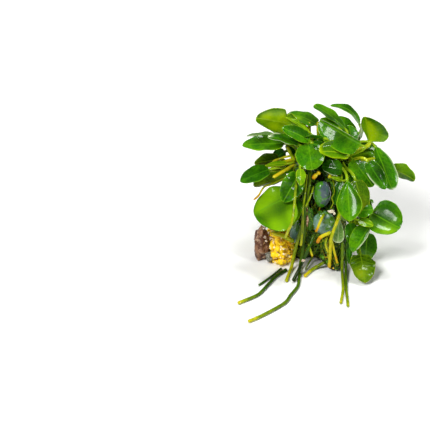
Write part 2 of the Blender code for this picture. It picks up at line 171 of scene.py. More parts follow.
def leafMaterial(finish, colours):
    material, tree, shader = newMaterial("wet leaf skin, " + finish)
    fact = {
        name: addNode(tree, "ShaderNodeAttribute", attribute_name=name).outputs["Fac"]
        for name in ("across", "veinPhase", "layer", "glow", "shade", "bloom", "edge", "along", "ripe", "veined")
    }
    place = addNode(tree, "ShaderNodeTexCoord").outputs["Object"]
    mottle = addNode(tree, "ShaderNodeTexNoise", {
        "Vector": place, "Scale": 1 / (leafSurface["mottle"] * mm), "Detail": 3.0, "Roughness": 0.6}).outputs["Fac"]
    clouds = addNode(tree, "ShaderNodeTexNoise", {
        "Vector": place, "Scale": 1 / (7 * mm), "Detail": 1.0}).outputs["Fac"]
    pores = addNode(tree, "ShaderNodeTexNoise", {
        "Vector": place, "Scale": 1 / (leafSurface["pores"] * mm), "Detail": 2.0}).outputs["Fac"]

    # each mask runs from 0 to 1
    cloudMask = addNode(tree, "ShaderNodeMapRange", {
        "Value": clouds, "From Min": 0.42, "From Max": 0.62}, interpolation_type="SMOOTHSTEP").outputs[0]
    mottleMask = addNode(tree, "ShaderNodeMapRange", {
        "Value": mottle, "From Min": 0.4, "From Max": 0.7, "To Max": 0.55}).outputs[0]
    flecks = addNode(tree, "ShaderNodeTexNoise", {
        "Vector": place, "Scale": 1 / (leafSurface["streak"] * mm), "Detail": 1.0}).outputs["Fac"]
    fleckMask = addNode(tree, "ShaderNodeMapRange", {
        "Value": flecks, "From Min": 0.5, "From Max": 0.7, "To Max": 0.5}).outputs[0]
    fromRib = addNode(tree, "ShaderNodeMath", {0: fact["across"]}, operation="ABSOLUTE").outputs[0]
    ribMask = addNode(tree, "ShaderNodeMapRange", {
        "Value": fromRib, "From Min": leafSurface["ribHalfWidth"] * 0.4,
        "From Max": leafSurface["ribHalfWidth"] * 1.6, "To Min": 0.75, "To Max": 0.0,
    }, interpolation_type="SMOOTHSTEP").outputs[0]
    toVein = addNode(tree, "ShaderNodeMath", {0: fact["veinPhase"], 1: 0.5}, operation="PINGPONG").outputs[0]
    veinLine = addNode(tree, "ShaderNodeMapRange", {
        "Value": toVein, "From Min": leafSurface["veinShare"] * 0.3, "From Max": leafSurface["veinShare"] * 1.7,
        "To Min": 1.0, "To Max": 0.0}, interpolation_type="SMOOTHSTEP").outputs[0]
    inFromEdge = addNode(tree, "ShaderNodeMapRange", {
        "Value": fact["edge"], "From Min": 0.3, "From Max": 1.6}, interpolation_type="SMOOTHSTEP").outputs[0]
    veinInside = addNode(tree, "ShaderNodeMath", {0: veinLine, 1: inFromEdge}, operation="MULTIPLY").outputs[0]
    veinMask = addNode(tree, "ShaderNodeMath", {0: veinInside, 1: fact["veined"]}, operation="MULTIPLY").outputs[0]
    brokenEdge = addNode(tree, "ShaderNodeMath", {0: fact["edge"], 1: mottle}, operation="ADD").outputs[0]
    rimMask = addNode(tree, "ShaderNodeMapRange", {
        "Value": brokenEdge, "From Min": 0.5, "From Max": 0.5 + leafSurface["rimWidth"], "To Min": 0.8, "To Max": 0.0,
    }, interpolation_type="SMOOTHSTEP").outputs[0]
    underMask = addNode(tree, "ShaderNodeMapRange", {
        "Value": fact["layer"], "From Min": -0.25, "From Max": 0.25, "To Min": 0.3, "To Max": 0.0}).outputs[0]
    stalkMask = addNode(tree, "ShaderNodeMapRange", {
        "Value": fact["along"], "From Min": -0.05, "From Max": 0.1, "To Min": 1.0, "To Max": 0.0,
    }, interpolation_type="SMOOTHSTEP").outputs[0]
    stalkColour = addNode(tree, "ShaderNodeMix", {
        "Factor": fact["ripe"], "A": hexColour(leafSurface["stalkGreen"]), "B": hexColour(leafSurface["stalkYellow"]),
    }, data_type="RGBA").outputs["Result"]

    colour = hexColour(colours["main"])
    for mask, over in (
        (cloudMask, hexColour(colours["light"])),
        (mottleMask, hexColour(colours["dark"])),
        (fleckMask, hexColour(colours["vein"])),
        (underMask, hexColour(colours["light"])),
        # painted shade: the finish's dark colour where the blade lies in shadow, in a cup or under another leaf
        (fact["shade"], hexColour(colours["dark"])),
        # painted light: lighter lime where light shines through or falls on the blade
        (fact["glow"], hexColour(colours["glow"])),
        (veinMask, hexColour(colours["vein"])),
        (ribMask, hexColour(colours["vein"])),
        (rimMask, hexColour(colours["rim"])),
        # painted sheen: pale grey along margins that catch the light
        (fact["bloom"], hexColour(leafSurface["paintedSheenColour"])),
        (stalkMask, stalkColour),
    ):
        mix = addNode(tree, "ShaderNodeMix", {"Factor": mask}, data_type="RGBA")
        for socket, value in (("A", colour), ("B", over)):
            if isinstance(value, bpy.types.NodeSocket):
                tree.links.new(value, mix.inputs[6 if socket == "A" else 7])
            else:
                mix.inputs[6 if socket == "A" else 7].default_value = value
        colour = mix.outputs["Result"]
    tree.links.new(colour, shader.inputs["Base Color"])

    roughness = addNode(tree, "ShaderNodeMapRange", {
        "Value": mottle, "From Min": 0.3, "From Max": 0.75, "To Min": 0.24, "To Max": 0.46}).outputs[0]
    tree.links.new(roughness, shader.inputs["Roughness"])
    bump = addNode(tree, "ShaderNodeBump", {
        "Height": pores, "Strength": 0.5, "Distance": leafSurface["poreDepth"] * mm})
    tree.links.new(bump.outputs["Normal"], shader.inputs["Normal"])
    film = addNode(tree, "ShaderNodeBump", {"Height": mottle, "Strength": 0.3, "Distance": 0.12 * mm})
    tree.links.new(film.outputs["Normal"], shader.inputs["Coat Normal"])
    shader.inputs["IOR"].default_value = 1.4
    shader.inputs["Specular IOR Level"].default_value = 0.06
    shader.inputs["Coat Weight"].default_value = 0.34
    shader.inputs["Coat Roughness"].default_value = 0.1
    return material


leafMaterials = {finish: leafMaterial(finish, colours) for finish, colours in leafFinishes.items()}
print("leaf materials made")


# A closed skin through rings of points: a grid, rolled up and welded along its seam and at both ends

def skin(name, rings, facts):
    across, rows = len(rings[0]), len(rings)
    bpy.ops.mesh.primitive_grid_add(x_subdivisions=across, y_subdivisions=rows - 1, size=1)
    obj = bpy.context.object
    obj.name = name
    mesh = obj.data
    mesh.name = name
    for row in range(rows):
        for k in range(across + 1):
            mesh.vertices[row * (across + 1) + k].co = rings[row][k % across] * mm
    for fact, table in facts.items():
        attribute = mesh.attributes.new(fact, "FLOAT", "POINT")
        attribute.data.foreach_set("value", [line[k % across] for line in table for k in range(across + 1)])
    bpy.ops.object.mode_set(mode="EDIT")
    bpy.ops.mesh.select_all(action="SELECT")
    bpy.ops.mesh.remove_doubles(threshold=1e-7)
    bpy.ops.mesh.normals_make_consistent(inside=False)
    bpy.ops.object.mode_set(mode="OBJECT")
    bpy.ops.object.shade_smooth()
    obj.select_set(False)
    return obj


# Leaves

fork = Vector((9.5, 7.0, 47.0))
shoots = {
    "main": (Vector((6.0, 16.0, 44.0)), fork),
    "left": (fork + Vector((-3.6, -3.6, 1.4)), inView(-3.5, 46.0, 24.0)),
    "right": (fork + Vector((4.6, -2.4, 0.8)), inView(25.0, 45.5, 20.0)),
    "low": (Vector((24.3, -1.0, 18.2)), inView(29.0, 17.5, 17.0)),
}
rhizomeRadius = 2.3
leafForm = {
    "thickness": 0.62,
    "stalkRadius": 0.72,
    "stalkRows": 12,
    "bladeRows": 46,
    "ringPoints": 36,
    "ribHeight": 0.35,           # how far the midrib stands out under the blade
    "ribGroove": 0.16,           # and how deep it lies in the upper side
    "veinSlant": 0.2,            # how far towards the tip a side vein runs on its way to the edge
}


def bezier(path, t):
    a, b, c, d = path
    s = 1 - t
    return a * s**3 + b * (3 * s * s * t) + c * (3 * s * t * t) + d * t**3


def bezierDirection(path, t):
    a, b, c, d = path
    s = 1 - t
    return ((b - a) * (s * s) + (c - b) * (2 * s * t) + (d - c) * (t * t)).normalized()


def halfWidthAt(t, leaf):
    shift = math.log(0.5) / math.log(leaf.get("widest", 0.44))
    return leaf["half"] * max(math.sin(math.pi * min(t, 1.0)**shift), 0.0) ** leaf.get("fullness", 0.55)


def stalkBase(leaf, neck):
    shoot, share = leaf["grows"]
    start, end = shoots[shoot]
    axis = (end - start).normalized()
    centre = start.lerp(end, share)
    out = neck - centre
    out = (out - axis * out.dot(axis)).normalized()
    return centre + out * (rhizomeRadius + leafForm["stalkRadius"] - 0.6), out


def ease(x):
    x = min(max(x, 0.0), 1.0)
    return x * x * (3 - 2 * x)


def spotSum(spots, t, q, length, half):
    total = 0.0
    for spotT, spotQ, reach in spots:
        distance = math.hypot((t - spotT) * length, (q - spotQ) * half) / reach
        total += math.exp(-distance * distance)
    return min(total, 0.85)


# A band along the edge: side (-1, 1, or 0 for both), from and to along the blade, width in mm
def bandSum(bands, t, q, inset):
    total = 0.0
    for side, start, end, width in bands:
        if side * q >= 0:
            total += ease((t - start) / 0.1) * ease((end - t) / 0.06 + 0.5) * (1 - ease(inset / width))
    return min(total, 1.0)


def makeLeaf(name, leaf, seed):
    neck, tip = inView(*leaf["neck"]), inView(*leaf["tip"])
    axis = (tip - neck).normalized()
    length = (tip - neck).length
    face = inView(*leaf["faces"]).normalized()
    face = (face - axis * face.dot(axis)).normalized()
    side = axis.cross(face)
    arch = leaf.get("arch", 0.06)
    cup = leaf.get("cup", 0.15)
    if "foot" in leaf:
        base = inView(*leaf["foot"])
        out = (neck - base).normalized()
    else:
        base, out = stalkBase(leaf, neck)
    reach = (neck - base).length * leaf.get("bow", 0.35)
    path = (base, base + out * reach, neck - (axis + face * arch * 2).normalized() * reach, neck)
    stalkRadius = leaf.get("stalk", leafForm["stalkRadius"])
    ringPoints, bladeRows, stalkRows = leafForm["ringPoints"], leafForm["bladeRows"], leafForm["stalkRows"]
    angles = [math.pi - k * 2 * math.pi / ringPoints for k in range(ringPoints)]
    drift = Vector((seed * 7.3, seed * 3.1, 0.0))
    phase = seed * 2.4
    bowlInset, bowlHeight = leaf.get("bowl", (1.0, 0.0))
    names = ("across", "veinPhase", "layer", "glow", "shade", "bloom", "edge", "along", "ripe", "veined")
    facts = {fact: [] for fact in names}
    rings = []

    def addRing(points, **values):
        rings.append(points)
        for fact in names:
            value = values.get(fact, 0.0)
            facts[fact].append(value if isinstance(value, list) else [value] * ringPoints)

    ripe = leaf.get("ripe", 0.35)
    for step in range(-1, stalkRows):
        t = max(step, 0) / stalkRows
        along = bezierDirection(path, t)
        sideHere = (side - along * side.dot(along)).normalized()
        up = sideHere.cross(along)
        radius = 0.0 if step < 0 else stalkRadius * (1.35 - 0.35 * ease(t * 4))
        centre = bezier(path, t)
        ring = [centre + sideHere * (radius * math.cos(a)) + up * (radius * math.sin(a)) for a in angles]
        addRing(ring, along=t - 1, edge=5.0, ripe=ripe, layer=[math.sin(a) for a in angles])
    for row in range(bladeRows + 1):
        t = (row / bladeRows) ** 1.15
        t = 1 - (1 - t) * (1 - 0.12 * t)
        half = halfWidthAt(t, leaf)
        half *= 1 + 0.035 * noise.noise(Vector((t * 5.0, 0.0, 0.0)) + drift)
        blend = ease(t / 0.09)
        half = max(half * blend, stalkRadius * (1 - t) * (1 - 0.55 * blend), 0.0)
        slope = arch * 4 * (1 - 2 * t)
        along = (axis + face * slope).normalized()
        normal = side.cross(along)
        centre = neck + axis * (length * t) + face * (arch * length * 4 * t * (1 - t))
        thickness = leafForm["thickness"] * (1 - 0.4 * t) * ease((1 - t) / 0.04 + 0.2)
        points, across, veinPhase, layer, glow, shade, bloom, edge = [], [], [], [], [], [], [], []
        for a in angles:
            c, s = math.cos(a), math.sin(a)
            q = c * (0.6 + 0.4 * abs(c)) * blend + c * (1 - blend)
            left = q < 0
            reachOut = half * leaf.get("sides", (1.0, 1.0))[0 if left else 1]
            for notchSide, notchAt, notchWidth, notchDepth in leaf.get("notches", ()):
                if (notchSide < 0) == left:
                    gone = math.exp(-(((t - notchAt) * length) / notchWidth) ** 2)
                    reachOut *= 1 - notchDepth * gone
            veins = leaf.get("veinCount", 9) * (t - leafForm["veinSlant"] * abs(q) ** 1.3)
            inside = ease(abs(q) * 4) * ease((1 - abs(q)) * 3) * blend * ease((1 - t) * 6)
            lift = cup * half * q * q
            lift += leaf.get("quilt", 0.035) * inside * math.cos(2 * math.pi * veins)
            lift += leaf.get("wave", 0.05) * half * abs(q) ** 3 * blend * math.sin(
                2 * math.pi * leaf.get("waves", 2.2) * t + phase + (1.9 if left else 0.0))
            lift += leaf.get("bump", 0.25) * blend * noise.noise(
                Vector((q * half * 0.22, t * length * 0.22, 0.0)) + drift)
            for foldAt, foldWidth, foldHeight in leaf.get("folds", ()):
                lift += foldHeight * blend * math.exp(-((q - foldAt) / foldWidth) ** 2)
            inset = min((1 - abs(q)) * reachOut, (1 - t) * length * 0.6)
            lift += bowlHeight * blend * (1 - ease(inset / bowlInset))
            rib = math.exp(-((q * half) / 0.55) ** 2) * (1 - t) * blend
            lift -= rib * (leafForm["ribGroove"] if s > 0 else leafForm["ribHeight"])
            flat = math.copysign(abs(s) ** 0.75, s) * thickness / 2
            body = flat * blend + s * stalkRadius * (1 - t) * (1 - blend)
            points.append(centre + side * (reachOut * q) + normal * (lift + body))
            across.append(q * reachOut)
            veinPhase.append(veins + 40.0)
            layer.append(s)
            # painted light, in patches and in bands along the edge
            glow.append(max(spotSum(leaf.get("glow", ()), t, q, length, leaf["half"]),
                            bandSum(leaf.get("glowEdge", ()), t, q, inset)))
            # painted shade, in patches and in bands along the edge
            shade.append(max(spotSum(leaf.get("shade", ()), t, q, length, leaf["half"]) * 0.8,
                             bandSum(leaf.get("shadeEdge", ()), t, q, inset)))
            # painted sheen along chosen margins
            bloom.append(bandSum(leaf.get("paintedSheenEdge", ()), t, q, inset) * 0.9)
            edge.append(inset)
        addRing(points, across=across, veinPhase=veinPhase, layer=layer, glow=glow, shade=shade, bloom=bloom,
                edge=edge, along=t, ripe=ripe, veined=leaf.get("veined", 0.14))
    end = rings[-1]
    tipPoint = sum(end, Vector()) / len(end)
    rings[-1] = [tipPoint] * ringPoints

    piece = skin(name, rings, facts)
    piece.data.materials.append(leafMaterials[leaf.get("finish", "mid")])
    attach(piece, "root")
    return piece


# neck is where the stalk meets the blade, faces is the way the upper side looks. glow patches are painted light and
# shade patches painted shade, lighter and darker: share of the blade's length, share of its half width, reach in mm.
leaves = {
    "leaf_left_tall": dict(grows=("left", 0.5), neck=(3.2, 58.8, 31.5), tip=(-22.3, 65.6, 34.0),
                           faces=(-0.05, 0.6, -0.8), half=7.7, arch=0.1, fullness=0.5, finish="young",
                           glow=[(0.35, 0.5, 3), (0.62, 0.55, 3), (0.8, -0.3, 3), (0.5, -0.35, 3)],
                           shade=[(0.5, 0.05, 2), (0.75, 0.1, 2)], shadeEdge=[(-1, 0.25, 1, 3.0)],
                           notches=[(-1, 0.44, 1.0, 0.35), (-1, 0.12, 6.5, 0.62)], veined=0.08, ripe=0.6),
    "leaf_left_folded": dict(grows=("left", 0.75), neck=(4.7, 53.8, 37.2), tip=(-9.6, 60.3, 38.0),
                             faces=(0.0, 0.6, 0.8), half=4.3, shade=[(0.3, 0.7, 3), (0.65, 0.7, 3)], bowl=(2.0, 0.6)),
    "leaf_left_behind": dict(grows=("left", 0.2), neck=(8.6, 62.2, 26.0), tip=(-6.2, 68.3, 20.0),
                             faces=(0.1, 0.88, 0.45), half=5.8, sides=(1.3, 1.0), ripe=0.6, fullness=0.45,
                             paintedSheenEdge=[(1, 0.5, 1, 0.9)], glow=[(0.6, -0.4, 2)], shade=[(0.3, 0.3, 4)]),
    "leaf_left_rim": dict(grows=("left", 1.0), neck=(-0.5, 52.0, 36.0), tip=(-16.5, 56.0, 37.0),
                          faces=(0.1, 0.9, 0.4), half=6.0, finish="dark", folds=[(0.5, 0.25, 0.5)],
                          paintedSheenEdge=[(1, 0.6, 1, 2.2), (-1, 0.3, 1, 0.6)]),
    "leaf_left_flat": dict(grows=("left", 0.9), neck=(-7.5, 53.0, 30.0), tip=(-29.0, 52.0, 31.0),
                           faces=(0.0, 0.8, 0.6), half=7.0, arch=0.01, shade=[(0.5, 0.5, 5)],
                           glowEdge=[(-1, 0.05, 0.8, 1.7)]),
    "leaf_left_grey": dict(grows=("left", 0.35), neck=(-9.0, 55.8, 15.5), tip=(-27.0, 56.8, 14.0),
                           faces=(0.0, 0.97, 0.2), half=6.0, finish="pale"),
    "leaf_left_olive": dict(grows=("left", 0.95), neck=(-10.0, 45.3, 25.0), tip=(-23.0, 43.2, 26.0),
                            faces=(0.1, 0.75, -0.65), half=4.7, arch=0.04, finish="olive",
                            glowEdge=[(1, 0.55, 1, 1.4)], shade=[(0.5, -0.2, 5)]),
    "leaf_left_shaded": dict(grows=("left", 0.95), neck=(-7.0, 49.4, 18.5), tip=(-14.0, 43.6, 16.0),
                             faces=(-0.5, 0.4, 0.75), half=4.0, finish="dark"),
    "leaf_left_lower": dict(grows=("left", 1.0), neck=(-15.0, 40.2, 31.0), tip=(-30.0, 34.0, 32.0),
                            faces=(0.0, 0.75, 0.65), half=5.8, arch=0.02, finish="dark",
                            glowEdge=[(-1, 0.1, 0.9, 1.0)]),
    "leaf_left_lowest": dict(grows=("left", 0.85), neck=(-6.0, 36.6, 26.0), tip=(-23.5, 32.3, 27.0),
                             faces=(0.0, 0.8, -0.45), half=6.6, arch=0.03, fullness=0.4, finish="olive"),
    "leaf_front_round": dict(grows=("left", 0.35), neck=(3.6, 53.2, 37.0), tip=(5.6, 39.8, 37.4),
                             faces=(0.02, 0.2, 0.98), half=7.4, fullness=0.5, veined=0.05, bump=0.7,
                             glowEdge=[(0, 0.2, 1, 0.5)]),
    "leaf_front_thin": dict(grows=("left", 0.1), neck=(11.6, 55.4, 36.7), tip=(1.0, 55.6, 37.2),
                            faces=(0.0, 0.98, -0.15), half=3.6, finish="dark"),
    "leaf_front_cupped": dict(grows=("right", 0.6), neck=(22.8, 47.6, 33.5), tip=(8.6, 48.8, 40.6),
                              faces=(0.0, 0.5, 0.87), half=5.4, cup=0.3, fullness=0.42, finish="young",
                              shade=[(0.5, 0.3, 4.5), (0.2, 0.4, 4), (0.75, 0.4, 3)], bowl=(1.8, 0.9),
                              glowEdge=[(-1, 0.0, 1, 2.4), (1, 0.8, 1, 2.2)]),
    "leaf_broad": dict(grows=("left", 0.6), neck=(-2.5, 27.2, 33.0), tip=(-23.2, 17.6, 30.0),
                       faces=(-0.2, 0.45, 0.87), half=9.8, sides=(1.68, 0.94), veined=0.07, cup=0.04,
                       glow=[(0.78, 0.35, 5), (0.5, 0.6, 5), (0.6, -0.85, 4), (0.2, -0.8, 4)],
                       shade=[(0.56, -0.2, 4), (0.33, -0.35, 4), (0.8, -0.45, 3)]),
    "leaf_broad_under": dict(grows=("left", 0.4), neck=(-0.8, 27.0, 29.5), tip=(-13.0, 9.8, 25.5),
                             faces=(-0.2, 0.3, 0.93), half=7.8, veined=0.1, glow=[(0.5, -0.5, 5), (0.8, -0.3, 4)],
                             shade=[(0.3, 0.2, 4)]),
    "leaf_bumpy": dict(grows=("left", 0.75), neck=(-0.6, 38.4, 37.0), tip=(-8.8, 24.0, 37.6),
                       faces=(0.12, 0.15, 0.98), half=5.6, quilt=0.07, bump=1.3, wave=0.12, veined=0.1,
                       shade=[(0.5, -0.4, 3), (0.9, 0.0, 3), (0.3, 0.4, 2.5), (0.7, 0.5, 2.5)]),
    "leaf_front_large": dict(grows=("right", 0.85), neck=(30.6, 52.2, 35.5), tip=(9.8, 64.6, 33.0),
                             faces=(-0.17, -0.08, 0.98), half=8.6, arch=0.11, cup=0.2, sides=(1.0, 0.2),
                             fullness=0.42, widest=0.42, paintedSheenEdge=[(1, 0.1, 1, 0.4)], shade=[(0.45, -0.1, 5)],
                             glowEdge=[(-1, 0.1, 0.8, 0.5)], bump=0.35, wave=0.02, bowl=(1.6, 0.4)),
    "leaf_top_small": dict(grows=("right", 0.1), neck=(18.8, 60.6, 31.3), tip=(9.6, 65.0, 30.8),
                           faces=(0.1, 0.75, 0.6), half=3.8, shade=[(0.5, 0.0, 3)]),
    "leaf_top_long": dict(grows=("right", 0.25), neck=(22.5, 60.0, 27.0), tip=(6.4, 71.9, 28.0),
                          faces=(0.5, 0.75, 0.45), half=5.6, widest=0.58, fullness=0.38,
                          glowEdge=[(1, 0.3, 1, 0.8)], shade=[(0.5, -0.4, 4), (0.25, 0.2, 4)]),
    "leaf_top_middle": dict(grows=("right", 0.6), neck=(27.0, 54.5, 18.0), tip=(18.7, 66.6, 20.0),
                            faces=(0.45, 0.55, 0.7), half=5.4, shade=[(0.3, 0.3, 4)]),
    "leaf_top_arched": dict(grows=("right", 0.42), neck=(30.2, 62.5, 14.5), tip=(15.2, 72.2, 16.0),
                            faces=(0.42, 0.76, 0.5), half=4.0, arch=0.2, shade=[(0.5, 0.5, 4)],
                            paintedSheenEdge=[(-1, 0.1, 0.9, 0.4)]),
    "leaf_right_young": dict(grows=("right", 1.0), neck=(34.4, 53.8, 25.5), tip=(32.2, 66.4, 32.5),
                             faces=(0.5, 0.5, -0.6), half=11.4, sides=(1.0, 0.42), widest=0.38, fullness=0.5,
                             finish="young", ripe=0.9, stalk=1.1, cup=0.05, wave=0.01, bump=0.1,
                             glow=[(0.15, -0.15, 3), (0.4, -0.15, 3), (0.65, -0.1, 3)],
                             notches=[(1, 0.1, 4.0, 0.55)], shadeEdge=[(-1, 0.3, 1, 7.0)]),
    "leaf_right_strip": dict(grows=("right", 0.8), neck=(28.6, 54.5, 21.5), tip=(30.6, 63.8, 22.5),
                             faces=(0.95, 0.1, 0.25), half=4.6, finish="pale"),
    "leaf_right_long": dict(grows=("right", 0.6), neck=(37.0, 52.0, 23.0), tip=(45.4, 29.8, 27.0),
                            faces=(0.45, 0.35, 0.8), half=5.8, widest=0.62, fullness=0.42, arch=0.03,
                            paintedSheenEdge=[(-1, 0.0, 1, 0.7), (0, 0.93, 1, 1.4)], bowl=(2.2, 0.9),
                            shade=[(0.5, 0.3, 5)]),
    "leaf_right_front": dict(grows=("right", 1.0), neck=(33.0, 44.5, 30.5), tip=(42.2, 30.2, 33.0),
                             faces=(-0.2, 0.5, 0.85), half=4.0, finish="dark", ripe=0.9, arch=0.02,
                             bowl=(2.0, 0.7), paintedSheenEdge=[(1, 0.3, 0.85, 0.9)], shade=[(0.5, -0.3, 4)]),
    "leaf_right_inner": dict(grows=("right", 0.87), neck=(26.0, 43.0, 23.6), tip=(29.0, 32.0, 22.1),
                             faces=(0.1, 0.3, 0.95), half=3.8),
    "leaf_right_far": dict(grows=("right", 0.9), neck=(45.3, 41.3, 17.0), tip=(57.6, 34.8, 18.0),
                           faces=(0.2, 0.8, -0.6), half=5.8, fullness=0.5, finish="young",
                           shade=[(0.7, -0.6, 4), (0.95, 0.2, 3)], paintedSheenEdge=[(-1, 0.1, 0.6, 0.7)]),
    "leaf_drop": dict(grows=("right", 0.5), neck=(23.0, 35.2, 34.6), tip=(24.2, 14.2, 38.8),
                      faces=(0.06, 0.2, 0.97), half=6.4, widest=0.62, fullness=0.68, arch=0.0, cup=0.36,
                      bump=0.08, quilt=0.0, wave=0.01, bowl=(1.8, 0.6), shade=[(0.5, -0.8, 4)],
                      glowEdge=[(0, 0.3, 1, 0.6)]),
    "leaf_behind_drop": dict(grows=("right", 0.65), neck=(27.0, 35.5, 32.0), tip=(31.2, 18.0, 31.0),
                             faces=(0.2, 0.2, 0.95), half=5.2, finish="olive", glow=[(0.8, 0.0, 3)]),
    "leaf_under_round": dict(grows=("right", 0.2), neck=(21.5, 39.6, 29.0), tip=(10.5, 41.5, 29.5),
                             faces=(0.0, 0.6, 0.8), half=5.0, finish="dark",
                             paintedSheenEdge=[(-1, 0.3, 0.9, 0.5)]),
    "leaf_low_cupped": dict(grows=("low", 1.0), neck=(35.2, 18.8, 26.0), tip=(49.6, 10.6, 30.0),
                            faces=(0.1, 0.25, 0.96), half=9.2, cup=0.3, fullness=0.42, widest=0.42,
                            arch=0.0, bump=0.1, quilt=0.0, wave=0.01, bowl=(3.0, 0.8),
                            glow=[(0.75, 0.6, 4)], shade=[(0.25, -0.1, 5), (0.5, -0.3, 4)]),
    "leaf_low_white_edge": dict(grows=("low", 0.75), neck=(34.5, 12.2, 27.5), tip=(26.0, -1.0, 27.0),
                                faces=(0.3, 0.3, 0.9), half=4.8, sides=(0.4, 1.25),
                                paintedSheenEdge=[(-1, 0.0, 0.85, 0.8)]),
    "leaf_low_dark": dict(grows=("low", 0.7), neck=(33.6, 9.2, 16.0), tip=(32.6, -6.6, 13.0),
                          faces=(0.2, 0.2, 0.95), half=5.4, shade=[(0.3, 0.3, 5)]),
    "leaf_low_drooping": dict(grows=("low", 0.5), neck=(30.0, -2.0, 22.0), tip=(32.0, -16.3, 31.0),
                              faces=(0.1, 0.6, 0.8), half=6.4, veined=0.6, quilt=0.08, wave=0.12,
                              veinCount=7, finish="olive", glow=[(0.7, 0.3, 3)], shade=[(0.1, 0.2, 4)]),
    "leaf_low_translucent": dict(grows=("low", 0.3), neck=(19.4, 15.5, 28.8), tip=(18.6, 3.6, 27.4),
                                 faces=(0.0, 0.3, 0.95), half=3.0, widest=0.7, fullness=0.45, finish="pale",
                                 paintedSheenEdge=[(0, 0.7, 1, 0.8)]),
    "leaf_back_left": dict(grows=("left", 0.1), neck=(-3.0, 58.0, 8.0), tip=(-15.0, 63.0, -8.0),
                           faces=(-0.2, 0.9, 0.4), half=6.5),
    "leaf_back_middle": dict(grows=("main", 1.0), neck=(9.0, 49.0, 6.0), tip=(5.0, 51.0, -14.0),
                             faces=(0.0, 0.9, 0.4), half=7.5),
    "leaf_back_right": dict(grows=("right", 0.5), neck=(27.0, 51.0, 6.0), tip=(33.0, 50.0, -14.0),
                            faces=(0.2, 0.9, 0.4), half=7.5, finish="dark"),
    "leaf_back_hanging": dict(grows=("main", 0.3), neck=(4.0, 44.6, 2.7), tip=(2.0, 34.3, -11.4),
                              faces=(0.0, 0.94, -0.32), half=7.0),
    "leaf_back_top": dict(grows=("right", 0.2), neck=(17.5, 59.0, 9.0), tip=(13.0, 62.5, -8.0),
                          faces=(0.0, 0.9, 0.4), half=6.5, finish="olive"),
    "leaf_back_low": dict(grows=("low", 0.5), neck=(31.0, 22.0, 0.0), tip=(33.0, 26.0, -16.0),
                          faces=(0.2, 0.9, 0.4), half=6.0),
}


def pieceName(node, kind):
    words = node.split("_")[1:]
    return words[0] + "".join(word.capitalize() for word in words[1:]) + kind


for number, (node, leaf) in enumerate(leaves.items()):
    piece = makeLeaf(pieceName(node, "Leaf"), leaf, number + 1)
    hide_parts(node)
print("leaves grown:", len(leaves))
